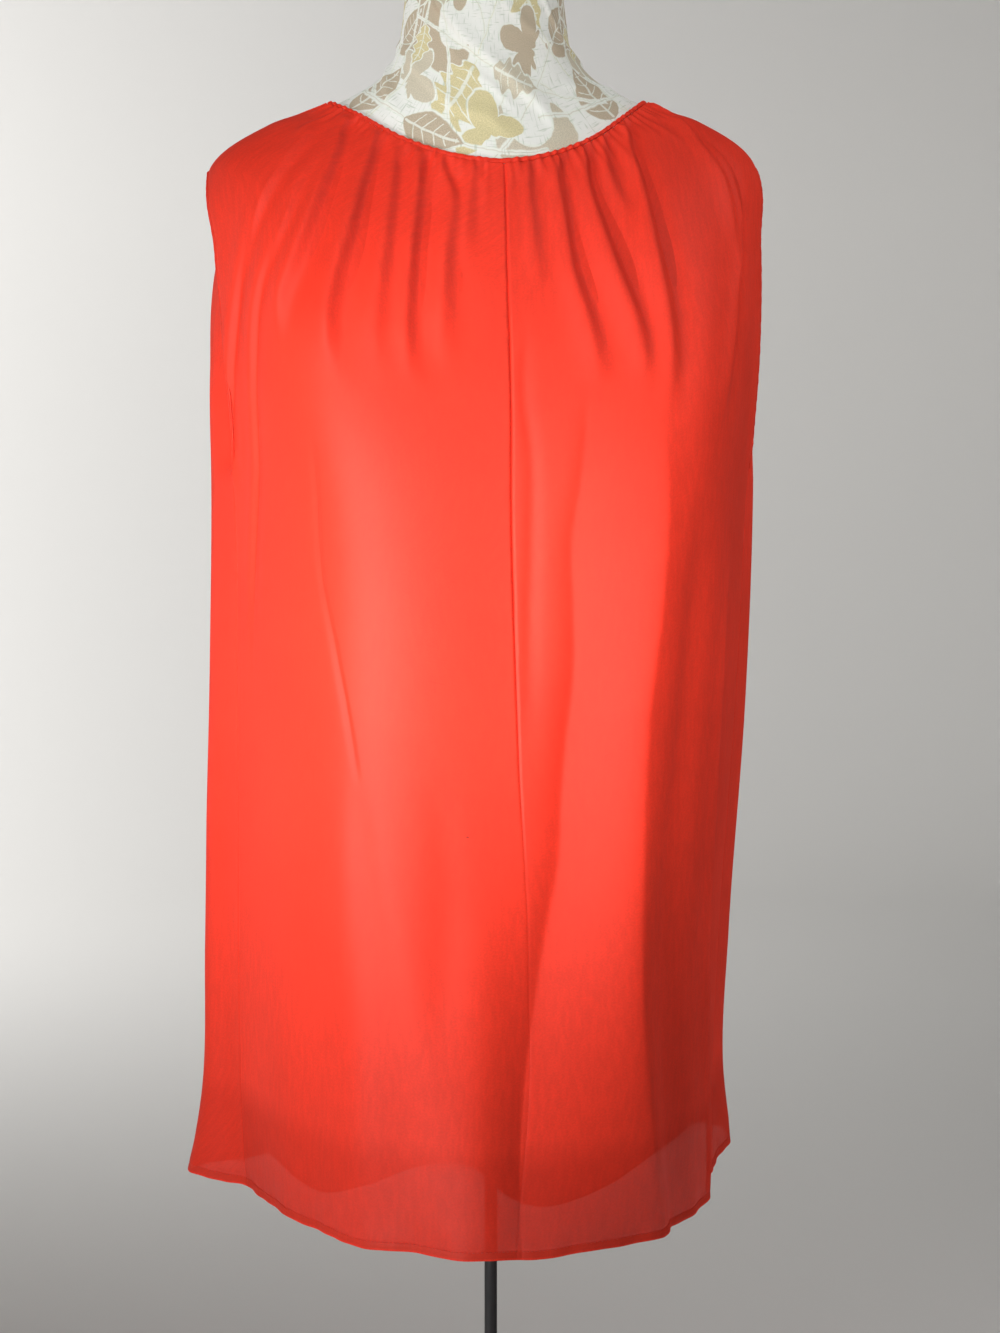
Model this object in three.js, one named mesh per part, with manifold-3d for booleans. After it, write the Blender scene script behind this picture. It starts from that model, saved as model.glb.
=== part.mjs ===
// A sleeveless mini dress with a gathered neck, its sheer outer cloth hanging over a lining,
// worn by a limbless dress form that stands on a pole with a round base.
//
// Millimetres. +Z is up, the front faces -Y, and the origin is on the floor under the pole.
//
// A point of the cloth is named by two values. Its angle goes round the form in degrees:
// 0 at the centre front, 90 at the +X side, 180 at the centre back and -90 at the -X side.
// Its drop is the way down the cloth from the neckline; the form's neck has negative drops.
import * as THREE from 'three';
import { mergeVertices } from 'three/addons/utils/BufferGeometryUtils.js';
import loadManifold from 'manifold-3d';

// ---- Driving dimensions ----------------------------------------------------------------

const HEM_HEIGHT = 435;          // the dress hem above the floor
const SHOULDER_RISE = 0.03;      // the shoulder line climbs this much per mm towards +X
const RISE_ENDS = 420;           // drop where that climb has died out
const RISE_FADES = 200;          // over this length

const CLOTH = 1.2;               // outer cloth wall
const LINING = 1.0;              // lining wall
const SEAM_GAP = 0.3;            // between neighbouring pieces
const LAYER_GAP = 0.45;          // between layers where the cloth rests on the form
const HEM_WIDTH = 6;             // turned hem, double cloth
const HEM_CLOTH = 2.0;
const NECK_WIDTH = 3;            // neck binding
const ARMHOLE_WIDTH = 4;         // armhole bindings
const BINDING_PROUD = 0.6;       // how far a binding stands out of the cloth

const NECK_EDGE = NECK_WIDTH + SEAM_GAP;       // drop where the gathered panels begin
const LINING_EDGE = NECK_EDGE + SEAM_GAP;      // and where the lining begins
const HEM_DROP = 870;                          // drop of the hem
const LINING_SPREAD = 9;                       // the lining hangs this much inside the cloth

const ARMHOLE = { middle: 215, half: 115, front: 25, back: 17 };   // drops and cut-back widths
const CURL = { depth: 8, reach: 20, start: 125, full: 175, ends: 280, gone: 322 };

const FORM_BOTTOM_DROP = 700;
const POLE_RADIUS = 4.75;
const POLE_IN_FORM = 120;        // length of pole inside the form
const BASE_RADIUS = 160;
const BASE_THICKNESS = 8;
const BOSS_RADIUS = 17;
const BOSS_HEIGHT = 30;
const POLE_FOOT = 10;            // height of the bottom of the pole's socket in the base

const FRONT_COLUMNS = 20;        // facets across each front panel, or the whole front lining
const BACK_COLUMNS = 18;         // facets across the whole back
const ARMHOLE_STEPS = 10;        // facets down one edge of an armhole

// ---- Section and fold tables -----------------------------------------------------------

// One row for each section of the cloth and of the form's neck. Five points shape each side
// of a section: centre front, cheek (45 degrees), side (90), rear (122) and centre back.
// shift moves the section along X, and skew moves its rear points back at +X and forward at
// -X. The last three columns are heights above the hem.
const SECTIONS = table(
  ['drop', 'frontY', 'cheekX', 'cheekY', 'sideX', 'sideY', 'rearX', 'rearY', 'backY', 'shift',
    'skew', 'frontUp', 'sideUp', 'backUp'],
  [-112, -51, 42, -35, 60, 4, 51, 33, 58, -4, 0, 905, 905, 905],
  [-72, -53, 45, -37, 64, 4, 54, 35, 60, -4, 0, 863, 865, 865],
  [-46, -57, 49, -40, 68, 4, 57, 37, 61, -4, 0, 828, 846, 842],
  [-22, -66, 61, -44, 84, 4, 68, 39, 63, -3, 0, 792, 827, 817],
  [0, -80, 80, -50, 115, 5, 90, 43, 66, -2, 0, 757, 811, 793],
  [46, -97, 98, -66, 161, 7, 122, 56, 84, -2, 0, 717, 795, 757],
  [96, -112, 117, -85, 202, 10, 166, 70, 100, -2, 0, 672, 767, 710],
  [160, -125, 134, -104, 205, 12, 190, 76, 112, 0, 0, 617, 705, 650],
  [240, -134, 134, -119, 203, 14, 202, 76, 119, 3, 0, 550, 627, 575],
  [330, -139, 125, -126, 195, 15, 206, 76, 124, 5, 0, 470, 539, 490],
  [500, -144, 119, -128, 190, 16, 207, 80, 132, 2, 0, 320, 369, 335],
  [690, -154, 116, -129, 184, 18, 204, 84, 144, -4, 8, 160, 180, 165],
  [800, -163, 121, -122, 182, 22, 206, 92, 154, -5, 18, 65, 70, 65],
  [870, -171, 124, -116, 181, 25, 220, 108, 162, -3, 26, 0, 0, 0],
);

// Where the centre front seam runs, in degrees.
const CENTRE_SEAM = table(
  ['drop', 'angle'],
  [0, 0.4], [170, -1.2], [330, -3.0], [480, -0.8], [650, 3.6], [760, 3.9], [870, -0.8],
);

// Space between the lining and the form. They touch at the neck and the shoulders.
const EASE = table(
  ['drop', 'front', 'side', 'back'],
  [-112, 0, 0, 0],
  [74, 0, 0, 0],
  [100, 0.4, 1.6, 0.6],
  [160, 2, 12, 2.5],
  [240, 1, 24, 3],
  [330, 1, 26, 6],
  [430, 22, 48, 20],
  [500, 30, 56, 27],
  [600, 24, 28, 21],
  [700, 17, 11, 13],
);

// Ridges (height over 0) and troughs (under 0) of the outer cloth. A fold runs from angle1 at
// drop1 to angle2 at drop2, and widens from width1 to width2. The first group are the
// gathers of the neckline, the second the long folds of the skirt.
const FOLDS = table(
  ['angle1', 'drop1', 'angle2', 'drop2', 'width1', 'width2', 'height'],
  [-72, 0, -72, 150, 7, 14, 2.0],
  [-57, 0, -58, 230, 7, 13, 3.4],
  [-43, 0, -47, 210, 6, 12, 3.2],
  [-34, 0, -35, 215, 6, 11, 3.6],
  [-22, 0, -20, 180, 5, 11, 3.0],
  [-9, 0, -9, 170, 5, 10, 2.6],
  [6, 0, 3, 170, 5, 9, 2.4],
  [31, 0, 26, 240, 6, 11, 3.6],
  [47, 0, 36, 235, 6, 12, 3.6],
  [62, 0, 58, 210, 7, 12, 3.0],
  [74, 0, 68, 190, 8, 13, 2.4],
  [-46, 470, -25, 990, 14, 36, -5.0],
  [10, 250, 0, 1000, 10, 20, -6.5],
  [33, 200, 32, 1020, 20, 24, 7.0],
  [46, 380, 46, 1020, 20, 28, -7.0],
  [-14, 480, -10, 1000, 22, 40, 3.0],
  [-50, 560, -50, 1180, 36, 42, -9.0],
  [112, 90, 116, 240, 8, 14, 2.4],
  [132, 0, 128, 200, 6, 12, 2.6],
  [148, 0, 146, 180, 6, 11, 2.8],
  [163, 0, 162, 210, 5, 10, 2.6],
  [178, 0, 177, 170, 5, 10, 2.4],
  [-167, 0, -165, 200, 5, 11, 2.8],
  [-151, 0, -150, 180, 6, 11, 2.6],
  [-136, 0, -132, 210, 6, 12, 2.8],
  [-114, 90, -118, 240, 8, 14, 2.2],
  [140, 300, 148, 1000, 20, 34, 5.0],
  [168, 340, 172, 1010, 18, 30, -4.5],
  [-160, 280, -156, 1000, 20, 34, 5.0],
  [-132, 360, -138, 1010, 18, 28, -4.0],
);

// Height of the lining's hem above the dress hem, round the front. It is level behind.
const LINING_HEM = table(
  ['angle', 'up'],
  [-180, 45], [-90, 32], [-52, 30], [-36, 46], [-24, 63], [-10, 64], [-3, 46], [26, 44], [38, 56],
  [90, 50], [180, 45],
);

function table(columns, ...rows) {
  return rows.map((row) => Object.fromEntries(columns.map((name, i) => [name, row[i]])));
}

// ---- Smooth curves ---------------------------------------------------------------------

// A smooth curve through (knots[i], values[i]).
function smoothCurve(knots, values, at) {
  const last = knots.length - 1;
  const step = (i) => knots[i + 1] - knots[i];
  const rate = (i) => (values[i + 1] - values[i]) / step(i);
  const slope = (i) => {
    if (i === 0) return rate(0);
    if (i === last) return rate(last - 1);
    return (rate(i - 1) * step(i) + rate(i) * step(i - 1)) / (step(i) + step(i - 1));
  };
  let i = 0;
  while (i < last - 1 && at >= knots[i + 1]) i += 1;
  const t = (at - knots[i]) / step(i);
  const t2 = t * t;
  const t3 = t2 * t;
  return (2 * t3 - 3 * t2 + 1) * values[i] + (t3 - 2 * t2 + t) * step(i) * slope(i)
    + (3 * t2 - 2 * t3) * values[i + 1] + (t3 - t2) * step(i) * slope(i + 1);
}

function column(rows, key, name, at) {
  return smoothCurve(rows.map((row) => row[key]), rows.map((row) => row[name]), at);
}

// 0 before start, 1 after end and smooth between them.
function ramp(start, end, at) {
  return THREE.MathUtils.smoothstep(at, start, end);
}

// The section at a drop, worked out once.
const sectionCache = new Map();
function sectionAt(drop) {
  if (!sectionCache.has(drop)) {
    const names = Object.keys(SECTIONS[0]).filter((name) => name !== 'drop');
    const values = names.map((name) => [name, column(SECTIONS, 'drop', name, drop)]);
    sectionCache.set(drop, Object.fromEntries(values));
  }
  return sectionCache.get(drop);
}

// ---- The cloth's surface ---------------------------------------------------------------

const KNOT_ANGLES = [-238, -180, -122, -90, -45, 0, 45, 90, 122, 180, 238];

// The same angle between -180 and 180.
function nearTurn(angle) {
  return THREE.MathUtils.euclideanModulo(angle + 180, 360) - 180;
}

// A point of the plain surface, with no folds.
function plainPoint(angle, drop) {
  const s = sectionAt(drop);
  const turn = nearTurn(angle);
  const [leftRear, rightRear] = [s.rearY - s.skew, s.rearY + s.skew];
  const right = [s.cheekX, s.sideX, s.rearX];
  const left = right.toReversed().map((x) => -x);
  const xs = [s.rearX, 0, ...left, 0, ...right, 0, -s.rearX];
  const ys = [rightRear, s.backY, leftRear, s.sideY, s.cheekY, s.frontY, s.cheekY, s.sideY,
    rightRear, s.backY, leftRear];
  const x = smoothCurve(KNOT_ANGLES, xs, turn);
  const y = smoothCurve(KNOT_ANGLES, ys, turn);
  const endUp = Math.abs(turn) < 90 ? s.frontUp : s.backUp;
  const towardsSide = Math.sin(THREE.MathUtils.degToRad(turn)) ** 2;
  const rise = SHOULDER_RISE * THREE.MathUtils.clamp((RISE_ENDS - drop) / RISE_FADES, 0, 1);
  const z = HEM_HEIGHT + endUp + (s.sideUp - endUp) * towardsSide + x * rise;
  return new THREE.Vector3(x + s.shift, y, z);
}

// The outward normal of the plain surface, and its length in mm for each degree round it.
function surfaceFrame(angle, drop) {
  const round = plainPoint(angle + 0.5, drop).sub(plainPoint(angle - 0.5, drop));
  const down = plainPoint(angle, drop + 1).sub(plainPoint(angle, drop - 1));
  const normal = new THREE.Vector3().crossVectors(down, round).normalize();
  return { normal, mmPerDegree: round.length() };
}

// A point moved out of the plain surface by a distance.
function offsetPoint(angle, drop, out) {
  return plainPoint(angle, drop).addScaledVector(surfaceFrame(angle, drop).normal, out);
}

// How far the outer cloth stands out of the plain surface at a point.
function foldHeight(angle, drop) {
  const { mmPerDegree } = surfaceFrame(angle, drop);
  let height = 0;
  for (const fold of FOLDS) {
    const along = (drop - fold.drop1) / (fold.drop2 - fold.drop1);
    if (along < 0 || along > 1) continue;
    const centre = THREE.MathUtils.lerp(fold.angle1, fold.angle2, along);
    const width = THREE.MathUtils.lerp(fold.width1, fold.width2, along);
    const across = nearTurn(angle - centre) * mmPerDegree / width;
    const isGather = fold.drop1 === 0;
    const fadeIn = isGather ? 0.35 + 0.65 * ramp(0, 0.2, along) : ramp(0, 0.3, along);
    const fadeOut = 1 - ramp(0.55, 1, along);
    height += fold.height * fadeIn * fadeOut * Math.exp(-across * across);
  }
  return height;
}

// How far an armhole's front or back edge is cut back from the side at a drop.
function armholeCut(drop, width) {
  const away = (drop - ARMHOLE.middle) / ARMHOLE.half;
  const open = Math.sqrt(Math.max(0, 1 - away * away));
  return Math.max(SEAM_GAP / 2, width * open);
}

// How far the cloth behind an armhole curls in, so that its edge hangs behind the front edge.
function armholeCurl(angle, drop) {
  const beyond = Math.abs(nearTurn(angle)) - 90;
  if (beyond < 0) return 0;
  const fromSide = beyond * surfaceFrame(90, drop).mmPerDegree;
  const away = Math.max(0, fromSide - armholeCut(drop, ARMHOLE.back)) / CURL.reach;
  const fadeIn = ramp(CURL.start, CURL.full, drop);
  const depth = CURL.depth * fadeIn * (1 - ramp(CURL.ends, CURL.gone, drop));
  return depth * Math.exp(-away * away);
}

// A point of the dress, out of the plain surface by a distance.
function clothPoint(angle, drop, out) {
  return offsetPoint(angle, drop, out - armholeCurl(angle, drop));
}

// The angle of a panel's edge at the +X side, set back from the side seam by a length.
function sideAngle(drop, setBack) {
  return 90 - setBack / surfaceFrame(90, drop).mmPerDegree;
}

// ---- Closed walls ----------------------------------------------------------------------

function geometryFrom(points, triangles) {
  const geometry = new THREE.BufferGeometry().setFromPoints(points);
  geometry.setIndex(triangles.flat());
  geometry.computeVertexNormals();
  return geometry;
}

// A wall over a grid of points: rows go down the cloth and columns towards +angle.
// outer(row, column) and inner(row, column) give the two faces.
function wallGeometry(rows, columns, outer, inner) {
  const points = [];
  for (const face of [outer, inner]) {
    for (let r = 0; r <= rows; r += 1) {
      for (let c = 0; c <= columns; c += 1) points.push(face(r, c));
    }
  }
  const far = (rows + 1) * (columns + 1);
  const at = (r, c) => r * (columns + 1) + c;
  const triangles = [];
  const quad = (a, b, c, d) => triangles.push([a, b, c], [a, c, d]);
  for (let r = 0; r < rows; r += 1) {
    for (let c = 0; c < columns; c += 1) {
      const [a, b, d, e] = [at(r, c), at(r + 1, c), at(r + 1, c + 1), at(r, c + 1)];
      quad(a, b, d, e);
      quad(far + a, far + e, far + d, far + b);
    }
    quad(at(r, 0), far + at(r, 0), far + at(r + 1, 0), at(r + 1, 0));
    quad(at(r, columns), at(r + 1, columns), far + at(r + 1, columns), far + at(r, columns));
  }
  for (let c = 0; c < columns; c += 1) {
    quad(at(0, c), at(0, c + 1), far + at(0, c + 1), far + at(0, c));
    quad(at(rows, c), far + at(rows, c), far + at(rows, c + 1), at(rows, c + 1));
  }
  return geometryFrom(points, triangles);
}

// A closed band: stations go round a loop, and each has the same four corners in order.
function loopGeometry(stations) {
  const count = stations.length;
  const sides = stations[0].length;
  const triangles = [];
  for (let s = 0; s < count; s += 1) {
    for (let k = 0; k < sides; k += 1) {
      const next = (s + 1) % count;
      const [a, b] = [s * sides + k, next * sides + k];
      const [c, d] = [next * sides + (k + 1) % sides, s * sides + (k + 1) % sides];
      triangles.push([a, b, c], [a, c, d]);
    }
  }
  return geometryFrom(stations.flat(), triangles);
}

// A solid through rings that lie one below the other, closed at the top and the bottom.
function ringsGeometry(rings) {
  const sides = rings[0].length;
  const points = rings.flat();
  const triangles = [];
  for (let r = 0; r < rings.length - 1; r += 1) {
    for (let c = 0; c < sides; c += 1) {
      const [a, b] = [r * sides + c, r * sides + (c + 1) % sides];
      triangles.push([a, a + sides, b + sides], [a, b + sides, b]);
    }
  }
  for (const r of [0, rings.length - 1]) {
    const middle = new THREE.Vector3();
    rings[r].forEach((point) => middle.addScaledVector(point, 1 / sides));
    const hub = points.push(middle) - 1;
    for (let c = 0; c < sides; c += 1) {
      const [a, b] = [r * sides + c, r * sides + (c + 1) % sides];
      triangles.push(r === 0 ? [hub, a, b] : [hub, b, a]);
    }
  }
  return geometryFrom(points, triangles);
}

// ---- Rows of the cloth grids -----------------------------------------------------------

const armholeDrops = Array.from({ length: ARMHOLE_STEPS + 1 }, (_, k) => (
  ARMHOLE.middle - ARMHOLE.half * Math.cos(Math.PI * k / ARMHOLE_STEPS)
));
const CLOTH_DROPS = [
  NECK_EDGE, 20, 36, 54, 72, 87, ...armholeDrops, 400, 480, 570, 660, 740, 810,
  HEM_DROP - HEM_WIDTH - 1, HEM_DROP - HEM_WIDTH, HEM_DROP,
];
const LINING_DROPS = [
  LINING_EDGE, 20, 36, 72, ...armholeDrops, 460, 600, 720,
];
const FORM_DROPS = [
  -112, -90, -72, -58, -46, -34, -22, -12, -4, ...LINING_DROPS.slice(0, 8), 180, 215, 250, 290, 330,
  380, 430, 500, 560, 620, FORM_BOTTOM_DROP,
];

// Angles all the way round, at the facets of the front and then of the back.
function anglesRound(frontSteps, backSteps) {
  const half = (start, steps) => Array.from({ length: steps }, (_, i) => start + 180 * i / steps);
  return [...half(-90, frontSteps), ...half(90, backSteps)];
}

// ---- Dress pieces ----------------------------------------------------------------------

const clothThickness = (drop) => (drop >= HEM_DROP - HEM_WIDTH ? HEM_CLOTH : CLOTH);

// An outer panel between two edges, each a function of the drop that gives an angle. Where an
// edge is cut back, only the columns near it are drawn in.
function clothPanel(columns, startAngle, endAngle) {
  const face = (depth) => (r, c) => {
    const drop = CLOTH_DROPS[r];
    const across = c / columns;
    const angle = THREE.MathUtils.lerp(startAngle(0), endAngle(0), across)
      + (startAngle(drop) - startAngle(0)) * (1 - across) ** 4
      + (endAngle(drop) - endAngle(0)) * across ** 4;
    return clothPoint(angle, drop, foldHeight(angle, drop) - depth(drop));
  };
  const rows = CLOTH_DROPS.length - 1;
  return wallGeometry(rows, columns, face(() => 0), face(clothThickness));
}

const seamAngle = (drop) => column(CENTRE_SEAM, 'drop', 'angle', drop);
const halfGapAngle = (drop) => SEAM_GAP / 2 / surfaceFrame(0, drop).mmPerDegree;
const frontEdge = (drop) => sideAngle(drop, armholeCut(drop, ARMHOLE.front));
const backEdge = (drop) => 180 - sideAngle(drop, armholeCut(drop, ARMHOLE.back));

const frontRight = () => clothPanel(
  FRONT_COLUMNS, (drop) => seamAngle(drop) + halfGapAngle(drop), frontEdge,
);
const frontLeft = () => clothPanel(
  FRONT_COLUMNS, (drop) => -frontEdge(drop), (drop) => seamAngle(drop) - halfGapAngle(drop),
);
const back = () => clothPanel(BACK_COLUMNS, backEdge, (drop) => 360 - backEdge(drop));

// How deep the lining's outer face lies inside the plain surface.
function liningDepth(drop) {
  return CLOTH + LAYER_GAP + LINING_SPREAD * ramp(110, 300, drop);
}

// The drop of the lining's hem at an angle.
function liningHemDrop(angle) {
  return HEM_DROP - column(LINING_HEM, 'angle', 'up', nearTurn(angle));
}

function liningPanel(columns, startAngle, endAngle) {
  const rows = LINING_DROPS.length;
  const face = (depth) => (r, c) => {
    const across = c / columns;
    const edgeDrop = LINING_DROPS[Math.min(r, rows - 1)];
    const angle = THREE.MathUtils.lerp(startAngle(edgeDrop), endAngle(edgeDrop), across);
    const drop = r === rows ? liningHemDrop(angle) : edgeDrop;
    return clothPoint(angle, drop, -liningDepth(drop) - depth);
  };
  return wallGeometry(rows, columns, face(0), face(LINING));
}

const liningFront = () => liningPanel(FRONT_COLUMNS, (drop) => -frontEdge(drop), frontEdge);
const liningBack = () => liningPanel(BACK_COLUMNS, backEdge, (drop) => 360 - backEdge(drop));

// The band that holds the gathers: it covers the edges of the cloth and the lining.
function neckBinding() {
  const inside = -(CLOTH + LAYER_GAP + LINING);
  const stations = anglesRound(2 * FRONT_COLUMNS, BACK_COLUMNS).map((angle) => [
    offsetPoint(angle, 0, BINDING_PROUD),
    offsetPoint(angle, 0, inside),
    offsetPoint(angle, NECK_WIDTH, inside),
    offsetPoint(angle, NECK_WIDTH, BINDING_PROUD),
  ]);
  return loopGeometry(stations);
}

// A loop round one armhole. side is 1 at +X and -1 at -X.
function armholeBinding(side) {
  const steps = 2 * ARMHOLE_STEPS;
  const corner = (turn, inwards, out) => {
    const width = (Math.sin(turn) > 0 ? ARMHOLE.front : ARMHOLE.back) - inwards;
    const drop = ARMHOLE.middle - (ARMHOLE.half - inwards) * Math.cos(turn);
    const { mmPerDegree } = surfaceFrame(90, drop);
    return clothPoint(side * (90 - width * Math.sin(turn) / mmPerDegree), drop, out);
  };
  const stations = Array.from({ length: steps }, (_, i) => {
    const turn = 2 * Math.PI * i / steps;
    const freeEdge = SEAM_GAP + ARMHOLE_WIDTH;
    return [
      corner(turn, SEAM_GAP, BINDING_PROUD),
      corner(turn, freeEdge, BINDING_PROUD),
      corner(turn, freeEdge, -CLOTH - SEAM_GAP),
      corner(turn, SEAM_GAP, -CLOTH - SEAM_GAP),
    ];
  });
  return loopGeometry(side > 0 ? stations : stations.toReversed());
}

// ---- Dress form and stand --------------------------------------------------------------

// A point of the form, inside the lining by its ease.
function formPoint(angle, drop) {
  const turn = THREE.MathUtils.degToRad(angle);
  const easeOf = (place) => Math.max(0, column(EASE, 'drop', place, drop));
  const endEase = easeOf(Math.cos(turn) > 0 ? 'front' : 'back');
  const ease = THREE.MathUtils.lerp(endEase, easeOf('side'), Math.sin(turn) ** 2);
  const depth = liningDepth(drop) + LINING + LAYER_GAP;
  const outwards = surfaceFrame(angle, drop).normal.clone().setZ(0).normalize();
  return offsetPoint(angle, drop, -depth).addScaledVector(outwards, -ease);
}

// A ring pulled in towards its own middle, for the rounded rims at the top and the bottom.
function drawnIn(ring, inset, lift) {
  const middle = new THREE.Vector3();
  ring.forEach((point) => middle.addScaledVector(point, 1 / ring.length));
  return ring.map((point) => {
    const away = point.clone().sub(middle).setZ(0);
    return point.clone().addScaledVector(away.normalize(), -inset).setZ(point.z + lift);
  });
}

const wasm = await loadManifold();
wasm.setup();

function toManifold(geometry) {
  const bare = geometry.clone();
  bare.deleteAttribute('normal');
  bare.deleteAttribute('uv');
  const merged = mergeVertices(bare, 1e-4);
  const vertProperties = new Float32Array(merged.attributes.position.array);
  const triVerts = new Uint32Array(merged.index.array);
  return new wasm.Manifold(new wasm.Mesh({ numProp: 3, vertProperties, triVerts }));
}

function fromManifold(solid) {
  const mesh = solid.getMesh();
  const geometry = new THREE.BufferGeometry();
  geometry.setAttribute('position', new THREE.BufferAttribute(mesh.vertProperties, 3));
  geometry.setIndex(new THREE.BufferAttribute(mesh.triVerts, 1));
  geometry.computeVertexNormals();
  return geometry;
}

const RIM = { inset: 6, height: 3 };
const formAngles = anglesRound(FRONT_COLUMNS, BACK_COLUMNS);
const formRings = FORM_DROPS.map((drop) => formAngles.map((angle) => formPoint(angle, drop)));
const formBottomRing = formRings.at(-1);
const formBottom = Math.min(...formBottomRing.map((point) => point.z)) - RIM.height;
const poleTop = formBottom + POLE_IN_FORM;

// The whole torso and neck, with a socket for the pole.
function formTorso() {
  const top = drawnIn(formRings[0], RIM.inset, RIM.height);
  const bottom = drawnIn(formBottomRing, RIM.inset, 0).map((point) => point.setZ(formBottom));
  const whole = toManifold(ringsGeometry([top, ...formRings, bottom]));
  const below = 20;
  const depth = POLE_IN_FORM + SEAM_GAP + below;
  const bore = new THREE.CylinderGeometry(POLE_RADIUS + SEAM_GAP, POLE_RADIUS + SEAM_GAP, depth, 24);
  bore.rotateX(Math.PI / 2);
  bore.translate(0, 0, formBottom - below + depth / 2);
  return fromManifold(whole.subtract(toManifold(bore)));
}

function standPole() {
  const length = poleTop - POLE_FOOT - SEAM_GAP;
  const pole = new THREE.CylinderGeometry(POLE_RADIUS, POLE_RADIUS, length, 24);
  pole.rotateX(Math.PI / 2);
  pole.translate(0, 0, poleTop - length / 2);
  return pole;
}

// A round plate whose middle rises to a boss with a socket for the pole.
function standBase() {
  const bevel = 2;
  const boreRadius = POLE_RADIUS + SEAM_GAP;
  const profile = [
    [0, 0],
    [BASE_RADIUS - bevel, 0],
    [BASE_RADIUS, bevel],
    [BASE_RADIUS, BASE_THICKNESS - bevel],
    [BASE_RADIUS - bevel, BASE_THICKNESS],
    [BOSS_RADIUS, BASE_THICKNESS],
    [BOSS_RADIUS, BOSS_HEIGHT - bevel],
    [BOSS_RADIUS - bevel, BOSS_HEIGHT],
    [boreRadius, BOSS_HEIGHT],
    [boreRadius, POLE_FOOT],
    [0, POLE_FOOT],
  ];
  const plate = new THREE.LatheGeometry(profile.map(([r, z]) => new THREE.Vector2(r, z)), 48);
  return plate.rotateX(Math.PI / 2);
}

// ---- The object ------------------------------------------------------------------------

const MATERIALS = {
  cloth: { color: 0xf2483a, roughness: 0.55, metalness: 0 },
  lining: { color: 0xd93a2a, roughness: 0.6, metalness: 0 },
  binding: { color: 0xdb3a2c, roughness: 0.6, metalness: 0 },
  formCloth: { color: 0xe9e4d6, roughness: 0.8, metalness: 0 },
  steel: { color: 0x3a3b3c, roughness: 0.4, metalness: 0.7 },
};

const PIECES = [
  ['dress_front_left', frontLeft(), MATERIALS.cloth],
  ['dress_front_right', frontRight(), MATERIALS.cloth],
  ['dress_back', back(), MATERIALS.cloth],
  ['lining_front', liningFront(), MATERIALS.lining],
  ['lining_back', liningBack(), MATERIALS.lining],
  ['neck_binding', neckBinding(), MATERIALS.binding],
  ['armhole_binding_left', armholeBinding(-1), MATERIALS.binding],
  ['armhole_binding_right', armholeBinding(1), MATERIALS.binding],
  ['form_torso', formTorso(), MATERIALS.formCloth],
  ['stand_pole', standPole(), MATERIALS.steel],
  ['stand_base', standBase(), MATERIALS.steel],
];

const group = new THREE.Group();
for (const [name, geometry, finish] of PIECES) {
  const mesh = new THREE.Mesh(geometry, new THREE.MeshStandardMaterial(finish));
  mesh.name = name;
  group.add(mesh);
}

export default group;
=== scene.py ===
import math

import bmesh
import bpy
import numpy as np
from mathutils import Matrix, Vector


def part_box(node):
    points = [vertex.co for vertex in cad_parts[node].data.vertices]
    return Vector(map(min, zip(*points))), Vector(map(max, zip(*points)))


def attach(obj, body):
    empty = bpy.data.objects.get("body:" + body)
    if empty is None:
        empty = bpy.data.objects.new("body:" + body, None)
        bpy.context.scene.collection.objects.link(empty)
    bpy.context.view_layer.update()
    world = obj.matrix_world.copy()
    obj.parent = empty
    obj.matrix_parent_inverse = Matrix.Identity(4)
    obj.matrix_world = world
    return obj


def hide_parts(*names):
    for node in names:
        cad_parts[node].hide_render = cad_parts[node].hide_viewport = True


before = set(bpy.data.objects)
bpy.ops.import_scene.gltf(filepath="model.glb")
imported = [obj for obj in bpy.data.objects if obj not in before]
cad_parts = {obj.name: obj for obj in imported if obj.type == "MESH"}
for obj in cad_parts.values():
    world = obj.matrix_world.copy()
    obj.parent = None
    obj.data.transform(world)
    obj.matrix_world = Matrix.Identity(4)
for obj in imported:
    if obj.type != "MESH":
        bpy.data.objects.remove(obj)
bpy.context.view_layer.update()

# A sleeveless mini dress with a gathered neck, its sheer outer cloth over a lining, worn by a
# limbless dress form on a pole. Lengths in the tables are in mm, and meshes are made in metres.
#
# A point of the cloth is named by its angle round the form in degrees (0 centre front, 90 the
# +X side, 180 centre back) and its drop, the way down the cloth from the neckline in mm.

# ---- Driving dimensions, the same as the frame's ----

HEM_HEIGHT, HEM_DROP = 435, 870  # the dress hem, above the floor and down the cloth
SHOULDER_RISE, RISE_ENDS, RISE_FADES = 0.03, 420, 200
CLOTH, LINING, LAYER_GAP, SEAM_GAP = 1.2, 1, 0.45, 0.3
HEM_WIDTH, NECK_WIDTH, ARMHOLE_WIDTH = 6, 3, 4
LINING_SPREAD = 9  # how far the lining hangs away from the outer cloth
ARMHOLE_MIDDLE, ARMHOLE_HALF, CUT_FRONT, CUT_BACK = 215, 115, 25, 17
FORM_TOP_DROP, FORM_BOTTOM_DROP = -112, 700

# ---- Sizes of the looks only ----

SHEER_THICK, HEM_THICK, LINING_THICK, WRAP_THICK = 0.6, 1.3, 0.6, 0.8
YARN_PITCH = 0.0006  # metres from one yarn to the next
SHEER_FROM, SHEER_FADE = 782, 30  # below this drop the cloth may be seen through
HEM_LINE = HEM_DROP - HEM_WIDTH  # the drop of the hem's stitches
# The cloth behind an armhole curls in, and the cloth before it lifts, between these drops.
CURL_START, CURL_FULL, CURL_ENDS, CURL_GONE = 98, 135, 308, 340
CURL_DEPTH, CURL_REACH = 11, 24
EDGE_LIFT, EDGE_REACH = 3, 12
DEEPEST_FOLD, FOLD_BEND = 9.3, 6  # troughs past the bend are eased towards the deepest
WRAP_END = 52  # how far the neck cloth goes down under the dress
WRAP_MM = 1.22  # its length for each degree round the neck
LINING_FOOT_ROWS = 14

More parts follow.
